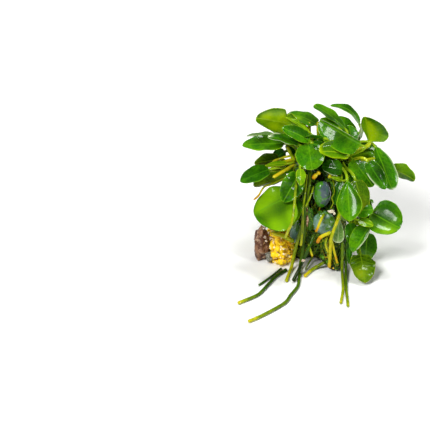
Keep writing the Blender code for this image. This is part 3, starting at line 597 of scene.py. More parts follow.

# Young leaves too small to have a solid of their own. The dark leaves named for shade and shadow fill dark gaps in
# the crown, and their dark finish is painted shade. foot is where the stalk starts.
smallLeaves = {
    "uprightLeaflet": dict(foot=(-0.5, 43.0, 34.0), neck=(-0.4, 40.6, 39.4), tip=(-0.2, 32.0, 40.2),
                           faces=(0.3, 0.1, 0.95), half=2.6, finish="young"),
    "stubLeaflet": dict(foot=(24.0, 37.0, 28.0), neck=(20.8, 34.6, 31.5), tip=(15.2, 36.2, 31.5),
                        faces=(0.0, 0.5, 0.87), half=1.3, finish="young"),
    "innerLeaf": dict(foot=(25.0, 45.0, 21.0), neck=(25.6, 45.6, 26.5), tip=(36.2, 31.6, 28.5),
                      faces=(-0.1, 0.3, 0.95), half=5.6, shade=[(0.9, 0.0, 3)]),
    "edgeLeaf": dict(foot=(19.0, 40.0, 24.0), neck=(20.3, 35.0, 30.5), tip=(17.0, 22.5, 30.0),
                     faces=(-0.2, 0.2, 0.95), half=2.6, finish="dark"),
    "forkLeaflet": dict(foot=(28.5, 17.5, 22.0), neck=(28.0, 19.6, 30.5), tip=(36.2, 20.0, 32.5),
                        faces=(-0.1, 0.3, 0.95), half=4.2, bump=0.6),
    "lowLeaflet": dict(foot=(28.5, 17.0, 21.0), neck=(28.4, 15.0, 32.0), tip=(36.0, 12.0, 33.5),
                       faces=(0.1, 0.4, 0.9), half=2.4, finish="young"),
    "sideShadeLeaf": dict(foot=(27.0, 30.0, 18.0), neck=(29.5, 28.0, 24.0), tip=(33.5, 13.0, 25.0),
                          faces=(0.1, 0.3, 0.95), half=4.6, finish="dark"),
    "gapLeaf": dict(foot=(24.0, 47.5, 18.0), neck=(26.5, 50.0, 22.0), tip=(24.5, 62.5, 20.0),
                    faces=(-0.1, 0.4, 0.9), half=4.4),
    "trunkLeaf": dict(foot=(24.0, 44.0, 18.0), neck=(23.5, 45.0, 21.0), tip=(38.8, 51.5, 20.0),
                      faces=(-0.1, 0.5, 0.86), half=6.6, glow=[(0.4, 0.4, 4)], shade=[(0.6, -0.5, 4)]),
    "crownShadeLeaf": dict(foot=(8.0, 47.0, 20.0), neck=(11.0, 50.0, 26.0), tip=(-4.0, 57.6, 26.0),
                           faces=(0.1, 0.5, 0.86), half=4.6, finish="dark", shade=[(0.5, 0.0, 5)]),
    "lowerShadeLeaf": dict(foot=(0.0, 43.0, 22.0), neck=(-3.0, 41.0, 24.0), tip=(-16.0, 37.6, 26.0),
                           faces=(0.0, 0.6, 0.8), half=3.4, finish="dark"),
    "roundShadeLeaf": dict(foot=(18.0, 44.0, 20.0), neck=(17.5, 41.5, 24.0), tip=(5.5, 43.5, 27.0),
                           faces=(0.0, 0.4, 0.92), half=5.2, finish="dark", shade=[(0.5, 0.0, 5)]),
    "innerGapLeaf": dict(foot=(18.0, 44.0, 18.0), neck=(19.5, 43.0, 22.0), tip=(25.6, 32.0, 24.0),
                         faces=(0.0, 0.3, 0.95), half=4.2),
    "crownLeftLeaf": dict(foot=(2.0, 45.0, 20.0), neck=(-0.4, 45.8, 24.0), tip=(-7.4, 52.2, 25.0),
                          faces=(0.1, 0.5, 0.86), half=2.8, finish="dark"),
    "shadowLeaf": dict(foot=(4.0, 50.0, 22.0), neck=(5.0, 54.5, 27.0), tip=(-8.0, 64.5, 26.0),
                       faces=(0.1, 0.5, 0.86), half=4.6, finish="dark"),
    "bandLeaf": dict(foot=(5.0, 50.0, 22.0), neck=(4.6, 58.4, 32.5), tip=(-7.5, 66.0, 33.5),
                     faces=(0.3, 0.7, 0.65), half=1.6, finish="young"),
    "hollowLeaf": dict(foot=(27.5, 17.0, 18.0), neck=(24.5, 14.0, 26.5), tip=(27.5, 0.5, 26.0),
                       faces=(0.1, 0.3, 0.95), half=3.8, finish="dark"),
    "stripLeaf": dict(foot=(26.0, 14.0, 18.0), neck=(23.8, 9.0, 24.0), tip=(24.4, -7.0, 21.5),
                      faces=(0.3, 0.2, 0.93), half=1.7, finish="dark"),
    "crownLeaflet": dict(foot=(8.5, 46.5, 30.0), neck=(12.0, 49.6, 36.6), tip=(5.5, 53.4, 36.8),
                         faces=(0.0, 0.5, 0.87), half=3.0, finish="dark"),
    "crownDarkLeaf": dict(foot=(11.0, 47.0, 22.0), neck=(17.0, 50.0, 29.5), tip=(6.0, 52.5, 31.0),
                          faces=(0.0, 0.6, 0.8), half=4.6, finish="dark"),
    "sideLeaflet": dict(foot=(-2.0, 44.5, 25.0), neck=(-6.0, 43.0, 31.0), tip=(-17.5, 41.8, 29.5),
                        faces=(0.0, 0.7, 0.7), half=1.9, finish="young"),
    "middleLeaf": dict(foot=(15.0, 50.0, 18.0), neck=(19.0, 54.0, 23.5), tip=(15.5, 63.0, 24.5),
                       faces=(-0.1, 0.5, 0.85), half=3.6, finish="olive"),
}
for number, (name, leaf) in enumerate(smallLeaves.items()):
    piece = makeLeaf(name, leaf | {"stalk": 0.5}, number + 50)
print("small leaves grown:", len(smallLeaves))


# Roots: smooth round cords, green where they are old and yellow to orange at their blunt growing ends

rootLook = {
    "ringPoints": 10,
    "rowEvery": 0.7,             # mm between two rings
    "swell": 0.07,               # how much the thickness wanders
    "colours": [(0.0, "#162803"), (0.22, "#305404"), (0.45, "#5c7606"), (0.63, "#8c9c08"), (0.8, "#c4b818"),
                (0.9, "#c49c10"), (1.0, "#b47404")],
}


def rootMaterial():
    material, tree, shader = newMaterial("living root skin")
    ripe = addNode(tree, "ShaderNodeAttribute", attribute_name="ripe").outputs["Fac"]
    place = addNode(tree, "ShaderNodeTexCoord").outputs["Object"]
    patches = addNode(tree, "ShaderNodeTexNoise", {
        "Vector": place, "Scale": 1 / (2.5 * mm), "Detail": 3.0}).outputs["Fac"]
    wander = addNode(tree, "ShaderNodeMath", {0: patches, 1: -0.5}, operation="ADD").outputs[0]
    spread = addNode(tree, "ShaderNodeMath", {0: wander, 1: 0.45, 2: ripe}, operation="MULTIPLY_ADD").outputs[0]
    ramp = addNode(tree, "ShaderNodeValToRGB", {"Fac": spread})
    elements = ramp.color_ramp.elements
    while len(elements) < len(rootLook["colours"]):
        elements.new(0.5)
    for element, (position, code) in zip(elements, rootLook["colours"]):
        element.position = position
        element.color = hexColour(code)
    tree.links.new(ramp.outputs["Color"], shader.inputs["Base Color"])
    shader.inputs["Roughness"].default_value = 0.38
    shader.inputs["IOR"].default_value = 1.4
    shader.inputs["Specular IOR Level"].default_value = 0.08
    shader.inputs["Coat Weight"].default_value = 0.24
    shader.inputs["Coat Roughness"].default_value = 0.1
    fine = addNode(tree, "ShaderNodeTexNoise", {"Vector": place, "Scale": 1 / (0.4 * mm), "Detail": 2.0})
    bump = addNode(tree, "ShaderNodeBump", {
        "Height": fine.outputs["Fac"], "Strength": 0.6, "Distance": 0.06 * mm})
    tree.links.new(bump.outputs["Normal"], shader.inputs["Normal"])
    return material


def smoothRoute(points, steps):
    route = []
    for i in range(len(points) - 1):
        before, a, b, after = points[max(i - 1, 0)], points[i], points[i + 1], points[min(i + 2, len(points) - 1)]
        for step in range(steps):
            t = step / steps
            route.append(0.5 * (2 * a + (b - before) * t + (2 * before - 5 * a + 4 * b - after) * t**2
                                + (3 * a - before - 3 * b + after) * t**3))
    route.append(points[-1])
    return route


def valueAt(table, share):
    for (t0, v0), (t1, v1) in zip(table, table[1:]):
        if share <= t1:
            return v0 + (v1 - v0) * (share - t0) / (t1 - t0)
    return table[-1][1]


def makeRoot(name, points, radius, ripe, seed, lowest=0.05):
    spans = smoothRoute(points, 10)
    lengths = [0.0]
    for a, b in zip(spans, spans[1:]):
        lengths.append(lengths[-1] + (b - a).length)
    total = lengths[-1]
    rows = max(int(total / rootLook["rowEvery"]), 6)
    centres = []
    i = 0
    for row in range(rows + 1):
        want = total * row / rows
        while i < len(lengths) - 2 and lengths[i + 1] < want:
            i += 1
        centres.append(spans[i].lerp(spans[i + 1], (want - lengths[i]) / (lengths[i + 1] - lengths[i])))
    rings, ripeRows = [], []
    side = Vector((0.3, 0.2, 1.0))
    count = rootLook["ringPoints"]
    for row, centre in enumerate(centres):
        share = row / rows
        along = (centres[min(row + 1, rows)] - centres[max(row - 1, 0)]).normalized()
        side = (side - along * side.dot(along)).normalized()
        up = along.cross(side)
        toEnd = min(share, 1 - share) * total / radius
        cap = math.sqrt(max(1 - (1 - min(toEnd, 1.0)) ** 2, 0.0))
        swell = 1 + rootLook["swell"] * noise.noise(Vector((share * total * 0.45, seed, 0.0)))
        thick = radius * cap * swell
        centre = Vector(centre)
        centre.z = max(centre.z, radius * swell + lowest)
        rings.append([centre + side * (thick * math.cos(2 * math.pi * k / count))
                      + up * (thick * math.sin(2 * math.pi * k / count)) for k in range(count)])
        ripeRows.append([valueAt(ripe, share)] * count)
    piece = skin(name, rings, {"ripe": ripeRows})
    piece.data.materials.append(rootSkin)
    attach(piece, "root")
    return piece


rootSkin = rootMaterial()
roots = {
    "root_long": dict(points=[inView(5.2, 41.3, 25.5), inView(4.8, 38.0, 30.5), inView(4.2, 32.0, 33.5),
                              inView(3.3, 25.0, 32.5), inView(2.5, 14.0, 28.5), inView(1.8, 5.0, 23.5),
                              onFloor(0.6, -5.0, 4.6), onFloor(-0.2, -10.0, 1.1), onFloor(-0.6, -14.5),
                              onFloor(-1.5, -18.0), onFloor(-5.0, -22.0), onFloor(-8.5, -26.0),
                              onFloor(-19.0, -31.5), onFloor(-26.5, -34.6)],
                      ripe=[(0, 0.4), (0.3, 0.35), (0.6, 0.25), (0.8, 0.35), (0.93, 0.6), (1, 0.8)]),
    "root_dark": dict(points=[inView(7.0, 8.0, 25.5), inView(4.4, 1.5, 26.0), onFloor(1.8, -4.5, 7.6),
                              onFloor(-0.8, -10.0, 3.8), onFloor(-3.8, -15.5, 1.0)],
                      ripe=[(0, 0.3), (0.4, 0.15), (0.6, 0.0), (1, 0.0)]),
    "root_yellow_left": dict(points=[inView(0.3, 41.3, 27.5), inView(1.6, 35.0, 33.4), inView(1.6, 27.0, 34.2),
                                     inView(1.8, 17.0, 31.6), inView(-1.6, 3.5, 23.4), onFloor(-3.7, -6.5, 3.4),
                                     onFloor(-5.2, -11.0, 1.0), onFloor(-7.2, -15.6)],
                             ripe=[(0, 0.3), (0.4, 0.32), (0.6, 0.55), (1, 0.75)]),
    "root_floor_middle": dict(points=[onFloor(12.6, -6.0, 4.0), onFloor(7.5, -9.0), onFloor(1.9, -13.2)],
                              ripe=[(0, 0.45), (0.6, 0.65), (1, 0.85)]),
    "root_floor_left": dict(points=[onFloor(-6.5, -9.6), onFloor(-12.5, -13.5), onFloor(-19.0, -20.0),
                                    onFloor(-22.5, -22.5), onFloor(-31.5, -26.0)],
                            ripe=[(0, 0.05), (0.5, 0.15), (0.8, 0.4), (1, 0.75)]),
    "root_yellow_right": dict(points=[inView(20.6, 21.5, 25.5), inView(18.0, 14.0, 32.5), inView(15.6, 7.5, 32.0),
                                      inView(15.0, 2.5, 29.0), inView(14.6, -9.0, 20.5)],
                              ripe=[(0, 0.5), (0.3, 0.7), (0.9, 0.76), (1, 1.0)]),
    "root_pair_left": dict(points=[inView(21.0, 4.0, 27.5), inView(21.0, -6.0, 22.5), onFloor(21.0, -12.0, 1.4),
                                   onFloor(21.0, -19.0, 0.8), onFloor(19.4, -26.0, 0.8)], radius=0.75,
                           ripe=[(0, 0.35), (0.4, 0.5), (1, 0.68)]),
    "root_pair_right": dict(points=[inView(23.2, 4.0, 25.5), inView(23.0, -6.0, 20.5), onFloor(22.8, -12.5, 1.4),
                                    onFloor(22.7, -20.0, 0.8), onFloor(23.0, -27.5, 0.8)], radius=0.75,
                            ripe=[(0, 0.15), (0.5, 0.3), (1, 0.6)]),
    "root_crown_yellow": dict(points=[inView(-2.8, 42.6, 28.0), inView(-7.4, 39.8, 33.2),
                                      inView(-14.0, 36.0, 35.0)], radius=0.9,
                              ripe=[(0, 0.7), (1, 0.82)]),
}
for number, (node, root) in enumerate(roots.items()):
    piece = makeRoot(pieceName(node, "Root"), root["points"], root.get("radius", 0.85), root["ripe"], number)
    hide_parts(node)
print("roots laid:", len(roots))

# Short and thin roots, buds and bare stalks that have no solid of their own
smallRoots = {
    "hangingRoot": ([inView(-1.5, 40.0, 34.0), inView(-2.6, 31.0, 40.5), inView(-3.4, 22.0, 43.0),
                     inView(-4.6, 14.0, 44.0), inView(-6.4, 9.5, 41.0), inView(-7.6, 6.4, 36.0)],
                    0.7, (0.4, 0.72)),
    "pebbleRoot": ([inView(12.0, 18.5, 32.0), inView(10.0, 15.0, 33.0), inView(8.3, 10.5, 32.5),
                    inView(7.2, 9.0, 32.0)], 0.7, (0.5, 1.0)),
    "crossRoot": ([inView(15.5, 9.0, 31.5), inView(11.5, 7.4, 32.5), inView(9.5, 6.0, 32.0),
                   inView(8.2, 3.4, 30.5)], 0.9, (0.65, 1.0)),
    "thinRoot": ([inView(9.0, 2.0, 25.0), onFloor(7.0, -2.0, 6.0), onFloor(5.5, -5.0, 2.5),
                  onFloor(2.5, -10.0, 0.5)], 0.4, (0.3, 0.5)),
    "floorBranch": ([onFloor(-9.0, -9.0, 0.7), onFloor(-15.0, -13.5, 0.6), onFloor(-21.0, -17.5, 0.6)],
                    0.55, (0.0, 0.25)),
    "leftThinRoot": ([inView(-5.0, 37.0, 25.0), inView(-14.0, 33.0, 28.5), inView(-18.0, 31.5, 29.0),
                      inView(-21.0, 27.0, 30.0), inView(-23.5, 25.0, 30.5)], 0.5, (0.4, 1.0)),
    "sideRoot": ([inView(15.5, 5.0, 29.0), inView(17.0, -1.0, 26.0), inView(19.0, -8.0, 21.0)],
                 0.6, (0.7, 0.95)),
    "curlyRoot": ([inView(16.0, 36.0, 28.0), inView(16.8, 29.0, 32.5), inView(15.5, 26.0, 33.0),
                   inView(16.2, 23.5, 32.5), inView(14.8, 20.5, 31.5)], 0.28, (0.5, 0.62)),
    "shortRoot": ([inView(0.8, 22.0, 32.0), inView(1.0, 12.0, 31.0), inView(0.2, 1.8, 27.0)],
                  0.6, (0.4, 0.72)),
    "slantRoot": ([inView(6.6, 32.0, 33.4), inView(5.0, 27.0, 35.0), inView(2.4, 21.4, 34.6)],
                  0.45, (0.5, 0.55)),
    "thinStem": ([inView(3.2, 38.0, 33.5), inView(2.2, 28.0, 35.6), inView(1.2, 20.0, 34.6),
                  inView(1.4, 8.0, 30.6)], 0.4, (0.55, 0.5)),
    "pebbleSideRoot": ([inView(13.5, 7.0, 30.5), inView(12.5, 3.0, 29.0), inView(14.0, -1.5, 26.0)],
                       0.55, (0.6, 0.75)),
    "endRoot": ([inView(4.0, 3.5, 27.0), inView(6.2, -3.5, 24.0)], 0.5, (0.4, 0.85)),
    "spikeRoot": ([inView(-14.5, 8.5, 20.0), inView(-10.0, 7.6, 24.0), inView(-6.5, 6.0, 24.5),
                   inView(-3.0, 4.3, 22.0)], 1.1, (0.85, 0.6)),
    "stalkBeforeFlat": ([inView(-6.8, 52.0, 30.0), inView(-3.0, 44.0, 30.0)], 0.85, (0.6, 0.6)),
    "paleStalk": ([inView(-14.0, 44.2, 27.0), inView(-5.5, 46.8, 29.0), inView(-1.0, 45.5, 26.0)],
                  0.6, (0.72, 0.7)),
    "yellowStalk": ([inView(-18.0, 41.5, 28.5), inView(-11.0, 43.0, 29.5), inView(-3.0, 45.6, 28.0)],
                    0.9, (0.8, 0.7)),
    "greenStalk": ([inView(-15.0, 40.5, 30.0), inView(-8.0, 42.6, 31.0), inView(-2.5, 44.0, 29.0)],
                   0.7, (0.6, 0.6)),
    "tallStalk": ([inView(4.4, 64.0, 27.0), inView(4.6, 56.0, 27.0)], 0.85, (0.6, 0.58)),
    "gapStalk": ([inView(8.8, 64.2, 28.5), inView(8.7, 58.5, 29.0), inView(9.4, 53.0, 28.0)],
                 0.75, (0.66, 0.6)),
    "sideStalk": ([inView(37.4, 45.8, 28.0), inView(30.0, 44.3, 27.0), inView(26.0, 43.8, 24.0)],
                  0.8, (0.64, 0.6)),
    "stubRoot": ([inView(15.6, 39.0, 29.5), inView(14.0, 35.6, 32.5)], 0.85, (0.65, 0.72)),
    "orangeBud": ([inView(8.4, 38.2, 32.5), inView(5.8, 35.3, 33.8)], 1.05, (0.84, 0.95)),
    "paleBud": ([inView(8.0, 39.2, 33.0), inView(9.8, 37.6, 33.4)], 0.9, (0.8, 0.9)),
}
for number, (name, (points, radius, (first, last))) in enumerate(smallRoots.items()):
    piece = makeRoot(name, points, radius, [(0, first), (1, last)], number + 30)
print("small roots laid:", len(smallRoots))


# The plug: stones, mineral wool and a mat of old roots, all from balls that are pushed in and out

lumps = {
    "matted_roots": dict(centre=(8.6, 1.2, 14.0), radii=(13.0, 12.0, 29.0), roughness=0.14, seed=8.0,
                         squareness=3.0, fine=0.45, fineSize=2.2,
                         bulges=[((19.0, -10.0, 4.0), 15.0, (1.0, -13.5, 0.0)),
                                 ((9.0, -13.0, -2.0), 10.0, (0.0, 7.0, 0.0))]),
    "mineral_wool": dict(centre=(-9.0, -5.2, 6.5), radii=(6.4, 10.2, 13.0), roughness=0.26, seed=3.0,
                         squareness=2.6, fine=1.1, fineSize=3.0),
    "stone_brown": dict(centre=(-19.0, -8.0, 8.4), radii=(4.1, 4.8, 9.4), roughness=0.22, seed=1.0,
                        squareness=2.5, fine=0.6, fineSize=2.4),
    "pebble_upper": dict(centre=(10.8, -12.8, 39.6), radii=(4.4, 3.0, 7.2), roughness=0.1, seed=5.0,
                         fine=0.12, fineSize=2.5),
    "pebble_lower": dict(centre=(11.8, -16.2, 24.9), radii=(5.6, 3.0, 6.6), roughness=0.1, seed=7.0,
                         fine=0.12, fineSize=2.5),
}


# Where a direction from a lump's middle meets its surface, in millimetres
def lumpPoint(lump, direction):
    squareness = lump.get("squareness", 2.0)
    boxy = sum(abs(c) ** squareness for c in direction) ** (-1 / squareness)
    wander = noise.noise(direction * 1.6 + Vector((lump["seed"], 0.0, 0.0)))
    push = boxy * (1 + lump["roughness"] * wander)
    place = Vector(direction[k] * lump["radii"][k] * push + lump["centre"][k] for k in range(3))
    for middle, reach, shift in lump.get("bulges", ()):
        near = max(1 - (place - Vector(middle)).length / reach, 0.0)
        place += Vector(shift) * near * near * (3 - 2 * near)
    return place


def makeLump(name, lump, segments, rows, material):
    bpy.ops.mesh.primitive_uv_sphere_add(segments=segments, ring_count=rows, radius=1)
    obj = bpy.context.object
    obj.name = name
    obj.data.name = name
    for vert in obj.data.vertices:
        direction = vert.co.normalized()
        place = lumpPoint(lump, direction)
        rough = noise.turbulence(place / lump["fineSize"], 3, False)
        vert.co = (place + direction * (lump["fine"] * (rough - 0.8))) * mm
    bpy.ops.object.mode_set(mode="EDIT")
    bpy.ops.mesh.select_all(action="SELECT")
    if min(vert.co.z for vert in obj.data.vertices) < 0:
        bpy.ops.mesh.bisect(plane_co=(0, 0, 0), plane_no=(0, 0, 1), use_fill=True, clear_inner=True)
        bpy.ops.mesh.select_all(action="SELECT")
    bpy.ops.mesh.normals_make_consistent(inside=False)
    bpy.ops.object.mode_set(mode="OBJECT")
    bpy.ops.object.shade_smooth()
    obj.select_set(False)
    obj.data.materials.append(material)
    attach(obj, "root")
    return obj


# Stone and earth: two colours in patches, a third in grains, and a bump from both
groundFinishes = {
    "weathered brown stone": dict(first="#54301e", second="#8c6448", grain="#b89878", patch=4.0, grainSize=1.6,
                                  grainShare=0.6, roughness=0.55, coat=0.2, depth=0.35),
    "peat and dead roots": dict(first="#0c1404", second="#1c2c04", grain="#3c3c0c", patch=3.5, grainSize=1.0,
                                grainShare=0.6, roughness=0.8, coat=0.0, depth=0.35),
    # The near-white grain of the wool and of its crumbs is partly pale fibre and partly painted glints, where wet
    # fibres catch the light.
    "wet mineral wool": dict(first="#ffd414", second="#cc9408", grain="#fff8c0", patch=3.5, grainSize=1.6,
                             grainShare=0.6, roughness=0.6, coat=0.15, depth=0.3),
    "wool crumbs": dict(first="#ffdc1c", second="#f0bc0c", grain="#fffce0", patch=3.6, grainSize=1.8,
                        grainShare=0.62, roughness=0.55, coat=0.15, depth=0.15),
    "pale stone chips": dict(first="#b09880", second="#84644e", grain="#e0d4c0", patch=1.5, grainSize=0.6,
                             grainShare=0.55, roughness=0.5, coat=0.3, depth=0.1),
    "grey stone chips": dict(first="#6c6c60", second="#44443c", grain="#a8a494", patch=1.5, grainSize=0.6,
                             grainShare=0.55, roughness=0.5, coat=0.3, depth=0.1),
    "cream stone chip": dict(first="#e8dcc0", second="#c8b490", grain="#fff8ec", patch=1.5, grainSize=0.8,
                             grainShare=0.6, roughness=0.5, coat=0.2, depth=0.05),
    "river pebble with algae": dict(first="#3e5054", second="#3c7c0a", grain="#5c7460", patch=5.0,
                                    algaeFrom=11.4, patchShare=0.5, grainSize=1.5, grainShare=0.64,
                                    roughness=0.25, coat=0.5, depth=0.06),
    "clear river pebble": dict(first="#6c9080", second="#44740e", grain="#a4bcaa", patch=6.0, patchShare=0.5,
                               grainSize=1.8, grainShare=0.62, roughness=0.2, coat=0.6, depth=0.05),
    "old dark root": dict(first="#284404", second="#3e6204", grain="#6c7c0c", patch=4.0, grainSize=1.5,
                          grainShare=0.58, roughness=0.55, coat=0.12, depth=0.06),
    "fine green root": dict(first="#447404", second="#2c5404", grain="#84980a", patch=5.0, grainSize=2.0,
                            grainShare=0.55, roughness=0.4, coat=0.2, depth=0.05),
    "fine yellow root": dict(first="#8c880a", second="#a07408", grain="#c4b424", patch=4.0, grainSize=2.0,
                             grainShare=0.55, roughness=0.4, coat=0.2, depth=0.05),
    "green algae": dict(first="#3c7404", second="#244c04", grain="#6c980a", patch=2.5, grainSize=1.0,
                        grainShare=0.58, roughness=0.45, coat=0.25, depth=0.1),
}


def groundMaterial(name, look):
    material, tree, shader = newMaterial(name)
    place = addNode(tree, "ShaderNodeTexCoord").outputs["Object"]
    patches = addNode(tree, "ShaderNodeTexNoise", {
        "Vector": place, "Scale": 1 / (look["patch"] * mm), "Detail": 4.0}).outputs["Fac"]
    grains = addNode(tree, "ShaderNodeTexNoise", {
        "Vector": place, "Scale": 1 / (look["grainSize"] * mm), "Detail": 3.0}).outputs["Fac"]
    if "algaeFrom" in look:          # algae on the side that x is less than this, in mm
        x = addNode(tree, "ShaderNodeSeparateXYZ", {"Vector": place}).outputs["X"]
        lean = addNode(tree, "ShaderNodeMapRange", {
            "Value": x, "From Min": (look["algaeFrom"] - 2.5) * mm, "From Max": (look["algaeFrom"] + 2.5) * mm,
            "To Min": 0.14, "To Max": -0.14}).outputs[0]
        patches = addNode(tree, "ShaderNodeMath", {0: patches, 1: lean}, operation="ADD").outputs[0]
    patchMask = addNode(tree, "ShaderNodeMapRange", {
        "Value": patches, "From Min": look.get("patchShare", 0.5) - 0.05,
        "From Max": look.get("patchShare", 0.5) + 0.06}, interpolation_type="SMOOTHSTEP").outputs[0]
    grainMask = addNode(tree, "ShaderNodeMapRange", {
        "Value": grains, "From Min": look["grainShare"] - 0.05, "From Max": look["grainShare"] + 0.06}).outputs[0]
    ground = addNode(tree, "ShaderNodeMix", {
        0: patchMask, 6: hexColour(look["first"]), 7: hexColour(look["second"])}, data_type="RGBA").outputs[2]
    colour = addNode(tree, "ShaderNodeMix", {
        0: grainMask, 6: ground, 7: hexColour(look["grain"])}, data_type="RGBA").outputs[2]
    tree.links.new(colour, shader.inputs["Base Color"])
    height = addNode(tree, "ShaderNodeMath", {0: patches, 1: grains}, operation="ADD").outputs[0]
    bump = addNode(tree, "ShaderNodeBump", {"Height": height, "Strength": 0.8, "Distance": look["depth"] * mm})
    tree.links.new(bump.outputs["Normal"], shader.inputs["Normal"])
    shader.inputs["Roughness"].default_value = look["roughness"]
    shader.inputs["Specular IOR Level"].default_value = 0.2
    shader.inputs["Coat Weight"].default_value = look["coat"]
    shader.inputs["Coat Roughness"].default_value = 0.1
    return material


ground = {name: groundMaterial(name, look) for name, look in groundFinishes.items()}

for node, name, segments, rows, finish in (
    ("matted_roots", "rootBall", 96, 80, "peat and dead roots"),
    ("mineral_wool", "woolBlock", 96, 64, "wet mineral wool"),
    ("stone_brown", "brownStone", 64, 48, "weathered brown stone"),
    ("pebble_upper", "upperPebble", 48, 32, "river pebble with algae"),
    ("pebble_lower", "lowerPebble", 48, 32, "clear river pebble"),
):
    piece = makeLump(name, lumps[node], segments, rows, ground[finish])
    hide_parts(node)

# Loose bits that are too small for a solid: centre, radii in mm, finish, slot
looseBits = {
    "algaeClump": (inView(-2.6, 11.0, 23.0), (2.9, 2.0, 7.4), "clear river pebble", "root_green"),
    "algaeCushion": (inView(4.5, 16.0, 27.5), (2.2, 1.6, 6.0), "green algae", "root_green"),
    "creamChip": (inView(15.2, 19.3, 30.5), (1.9, 0.8, 0.9), "cream stone chip", "stone"),
    "creamPoint": (inView(16.9, 18.2, 30.5), (0.7, 0.6, 0.9), "cream stone chip", "stone"),
    "pinkChip": (inView(1.5, -5.2, 25.5), (1.0, 0.8, 0.8), "pale stone chips", "stone"),
    "greyStone": (inView(-15.4, -3.4, 13.5), (2.0, 1.8, 2.8), "grey stone chips", "stone"),
    "barkBit": (inView(3.4, 14.5, 31.0), (0.7, 0.6, 3.6), "weathered brown stone", "stone"),
    "barkChip": (inView(3.0, 20.0, 31.5), (0.8, 0.7, 1.4), "weathered brown stone", "stone"),
}
for number, (name, (centre, radii, finish, slotName)) in enumerate(looseBits.items()):
    bit = dict(centre=centre, radii=radii, roughness=0.3, seed=20.0 + number, fine=0.15, fineSize=1.2)
    piece = makeLump(name, bit, 32, 24, ground[finish])
print("plug filled")


# Fine old roots that wind down over the root ball, many curves in one piece

def fineRoots(name, routes, radius, sides, material):
    curve = bpy.data.curves.new(name, "CURVE")
    curve.dimensions = "3D"
    curve.bevel_depth = radius * mm
    curve.bevel_resolution = sides
    curve.use_fill_caps = True
    for route, thick in routes:
        spline = curve.splines.new("POLY")
        spline.points.add(len(route) - 1)
        for i, (point, place) in enumerate(zip(spline.points, route)):
            point.co = (place.x * mm, place.y * mm, max(place.z, radius * thick + 0.1) * mm, 1.0)
            point.radius = thick * (1 - 0.6 * ease(i / (len(route) - 1) * 1.5 - 0.5))
    obj = bpy.data.objects.new(name, curve)
    bpy.context.scene.collection.objects.link(obj)
    bpy.context.view_layer.objects.active = obj
    obj.select_set(True)
    bpy.ops.object.convert(target="MESH")
    piece = bpy.context.object
    piece.data.name = name
    bpy.ops.object.shade_smooth()
    piece.select_set(False)
    piece.data.materials.append(material)
    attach(piece, "root")
    return piece


matLook = {
    # name: how many, radius in mm, share of the ball's height where they start, material, slot
    "darkRootMat": (190, 0.42, (0.25, 1.0), "old dark root", "matted_roots"),
    "greenRootMat": (140, 0.38, (0.3, 1.0), "fine green root", "root_green"),
    "yellowRootMat": (56, 0.34, (0.0, 0.85), "fine yellow root", "root_yellow"),
    "steps": 16,
}


def windDown(lump, draw, startShare, proud):
    turn = draw.uniform(0, 2 * math.pi)
    height = startShare * 1.8 - 0.85
    drop = draw.uniform(0.05, 0.11)
    sway = draw.uniform(-0.12, 0.12)
    route = []
    for step in range(matLook["steps"]):
        sway += draw.uniform(-0.06, 0.06)
        turn += sway
        height -= drop * draw.uniform(0.6, 1.4)
        flat = math.sqrt(max(1 - min(abs(height), 0.98) ** 2, 0.0))
        direction = Vector((math.cos(turn) * flat, math.sin(turn) * flat, max(min(height, 0.98), -0.98)))
        place = lumpPoint(lump, direction)
        if place.z < 0.5:
            break
        route.append(place + direction * proud * (1 + 0.5 * math.sin(step * 1.7 + turn * 3)))
    return route


draw = random.Random(11)
for name in ("darkRootMat", "greenRootMat", "yellowRootMat"):
    count, radius, (lowStart, highStart), finish, slotName = matLook[name]
    routes = []
    for _ in range(count):
        route = windDown(lumps["matted_roots"], draw, draw.uniform(lowStart, highStart), radius * 0.9)
        if len(route) > 3:
            routes.append((smoothRoute(route, 2), draw.uniform(0.6, 1.15)))
    fineRoots(name, routes, radius, 1, ground[finish])
print("root mat wound")


# Crumbs and fibres of the wool, and stone chips round the plug

def ballDirection(draw):
    z = draw.uniform(-1, 1)
    turn = draw.uniform(0, 2 * math.pi)
    return Vector((math.cos(turn) * math.sqrt(1 - z * z), math.sin(turn) * math.sqrt(1 - z * z), z))


def scatter(name, lump, count, sizes, sunk, material, seed, where=lambda place: True):
    draw = random.Random(seed)
    bpy.ops.mesh.primitive_ico_sphere_add(subdivisions=2, radius=1)
    pattern = bpy.context.object
    shape = [vert.co.copy() for vert in pattern.data.vertices]
    faces = [tuple(face.vertices) for face in pattern.data.polygons]
    bpy.data.objects.remove(pattern)
    points, joined = [], []
    while len(joined) < count * len(faces):
        direction = ballDirection(draw)
        place = lumpPoint(lump, direction)
        size = draw.uniform(*sizes)
        if place.z < size or not where(place):
            continue
        start = len(points)
        turn = Vector((draw.uniform(0, 9), draw.uniform(0, 9), draw.uniform(0, 9)))
        stretch = Vector((draw.uniform(0.6, 1.2), draw.uniform(0.6, 1.2), draw.uniform(0.6, 1.2)))
        for corner in shape:
            dent = 1 + 0.35 * noise.noise(corner * 1.5 + turn)
            spot = place + direction * size * sunk + Vector(corner[k] * stretch[k] for k in range(3)) * size * dent
            points.append(spot * mm)
        joined += [tuple(start + k for k in face) for face in faces]
    mesh = bpy.data.meshes.new(name)
    mesh.from_pydata(points, [], joined)
    mesh.shade_smooth()
    piece = bpy.data.objects.new(name, mesh)
    bpy.context.scene.collection.objects.link(piece)
    mesh.materials.append(material)
    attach(piece, "root")
    return piece


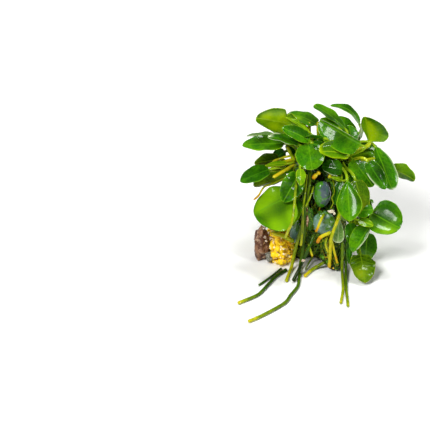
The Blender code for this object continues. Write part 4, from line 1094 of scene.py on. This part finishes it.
scatter("woolCrumbs", lumps["mineral_wool"], 220, (0.6, 1.7), 0.0, ground["wool crumbs"], 5)
scatter("tanChips", lumps["stone_brown"], 5, (0.7, 1.2), 0.2, ground["pale stone chips"], 6,
        where=lambda place: place.z > 10 and place.y < -8)
scatter("greyChips", lumps["mineral_wool"], 16, (0.8, 1.6), 0.1, ground["grey stone chips"], 7,
        where=lambda place: place.z < 4 and place.x < -11)
scatter("algaeTufts", lumps["matted_roots"], 340, (0.4, 1.5), 0.0, ground["green algae"], 8)
scatter("orangeGrains", lumps["matted_roots"], 40, (0.3, 0.8), 0.2, ground["wool crumbs"], 9,
        where=lambda place: place.x > 8)
fibres = []
draw = random.Random(21)
while len(fibres) < 240:
    direction = ballDirection(draw)
    place = lumpPoint(lumps["mineral_wool"], direction)
    if place.z < 1:
        continue
    heading = ballDirection(draw)
    lay = (heading - direction * heading.dot(direction)).normalized()
    long = draw.uniform(1.5, 4.5)
    fibres.append(([place + lay * (long * t) + direction * (0.25 + 0.7 * t * (1.2 - t))
                    for t in (0.0, 0.25, 0.5, 0.75, 1.0)], draw.uniform(0.6, 1.3)))
fineRoots("woolFibres", fibres, 0.14, 0, ground["wool crumbs"])
print("wool and chips scattered")


# Rhizomes: thick green-brown stems with rings where old leaves stood

def makeRhizome(name, shoot, bulge, material):
    start, end = shoots[shoot]
    along = (end - start).normalized()
    side = along.orthogonal().normalized()
    up = side.cross(along)
    rows, count = 40, 24
    rings = []
    for row in range(rows + 1):
        t = row / rows
        cap = math.sqrt(max(1 - (1 - min(min(t, 1 - t) * 6, 1.0)) ** 2, 0.0))
        radius = rhizomeRadius * bulge * (0.95 + 0.06 * math.cos(2 * math.pi * t * (end - start).length / 1.8))
        ring = []
        for k in range(count):
            turn = 2 * math.pi * k / count
            wander = 1 + 0.08 * noise.noise(Vector((math.cos(turn) * 1.5, math.sin(turn) * 1.5, t * 6)))
            ring.append(start.lerp(end, t) + (side * math.cos(turn) + up * math.sin(turn)) * radius * cap * wander)
        rings.append(ring)
    piece = skin(name, rings, {})
    piece.data.materials.append(material)
    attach(piece, "root")
    return piece


for shoot, bulge in (("main", 1.1), ("left", 1.0), ("right", 1.0), ("low", 1.0)):
    piece = makeRhizome(shoot + "Rhizome", shoot, bulge, ground["fine green root"])
    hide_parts("rhizome_" + shoot)
print("rhizomes made")
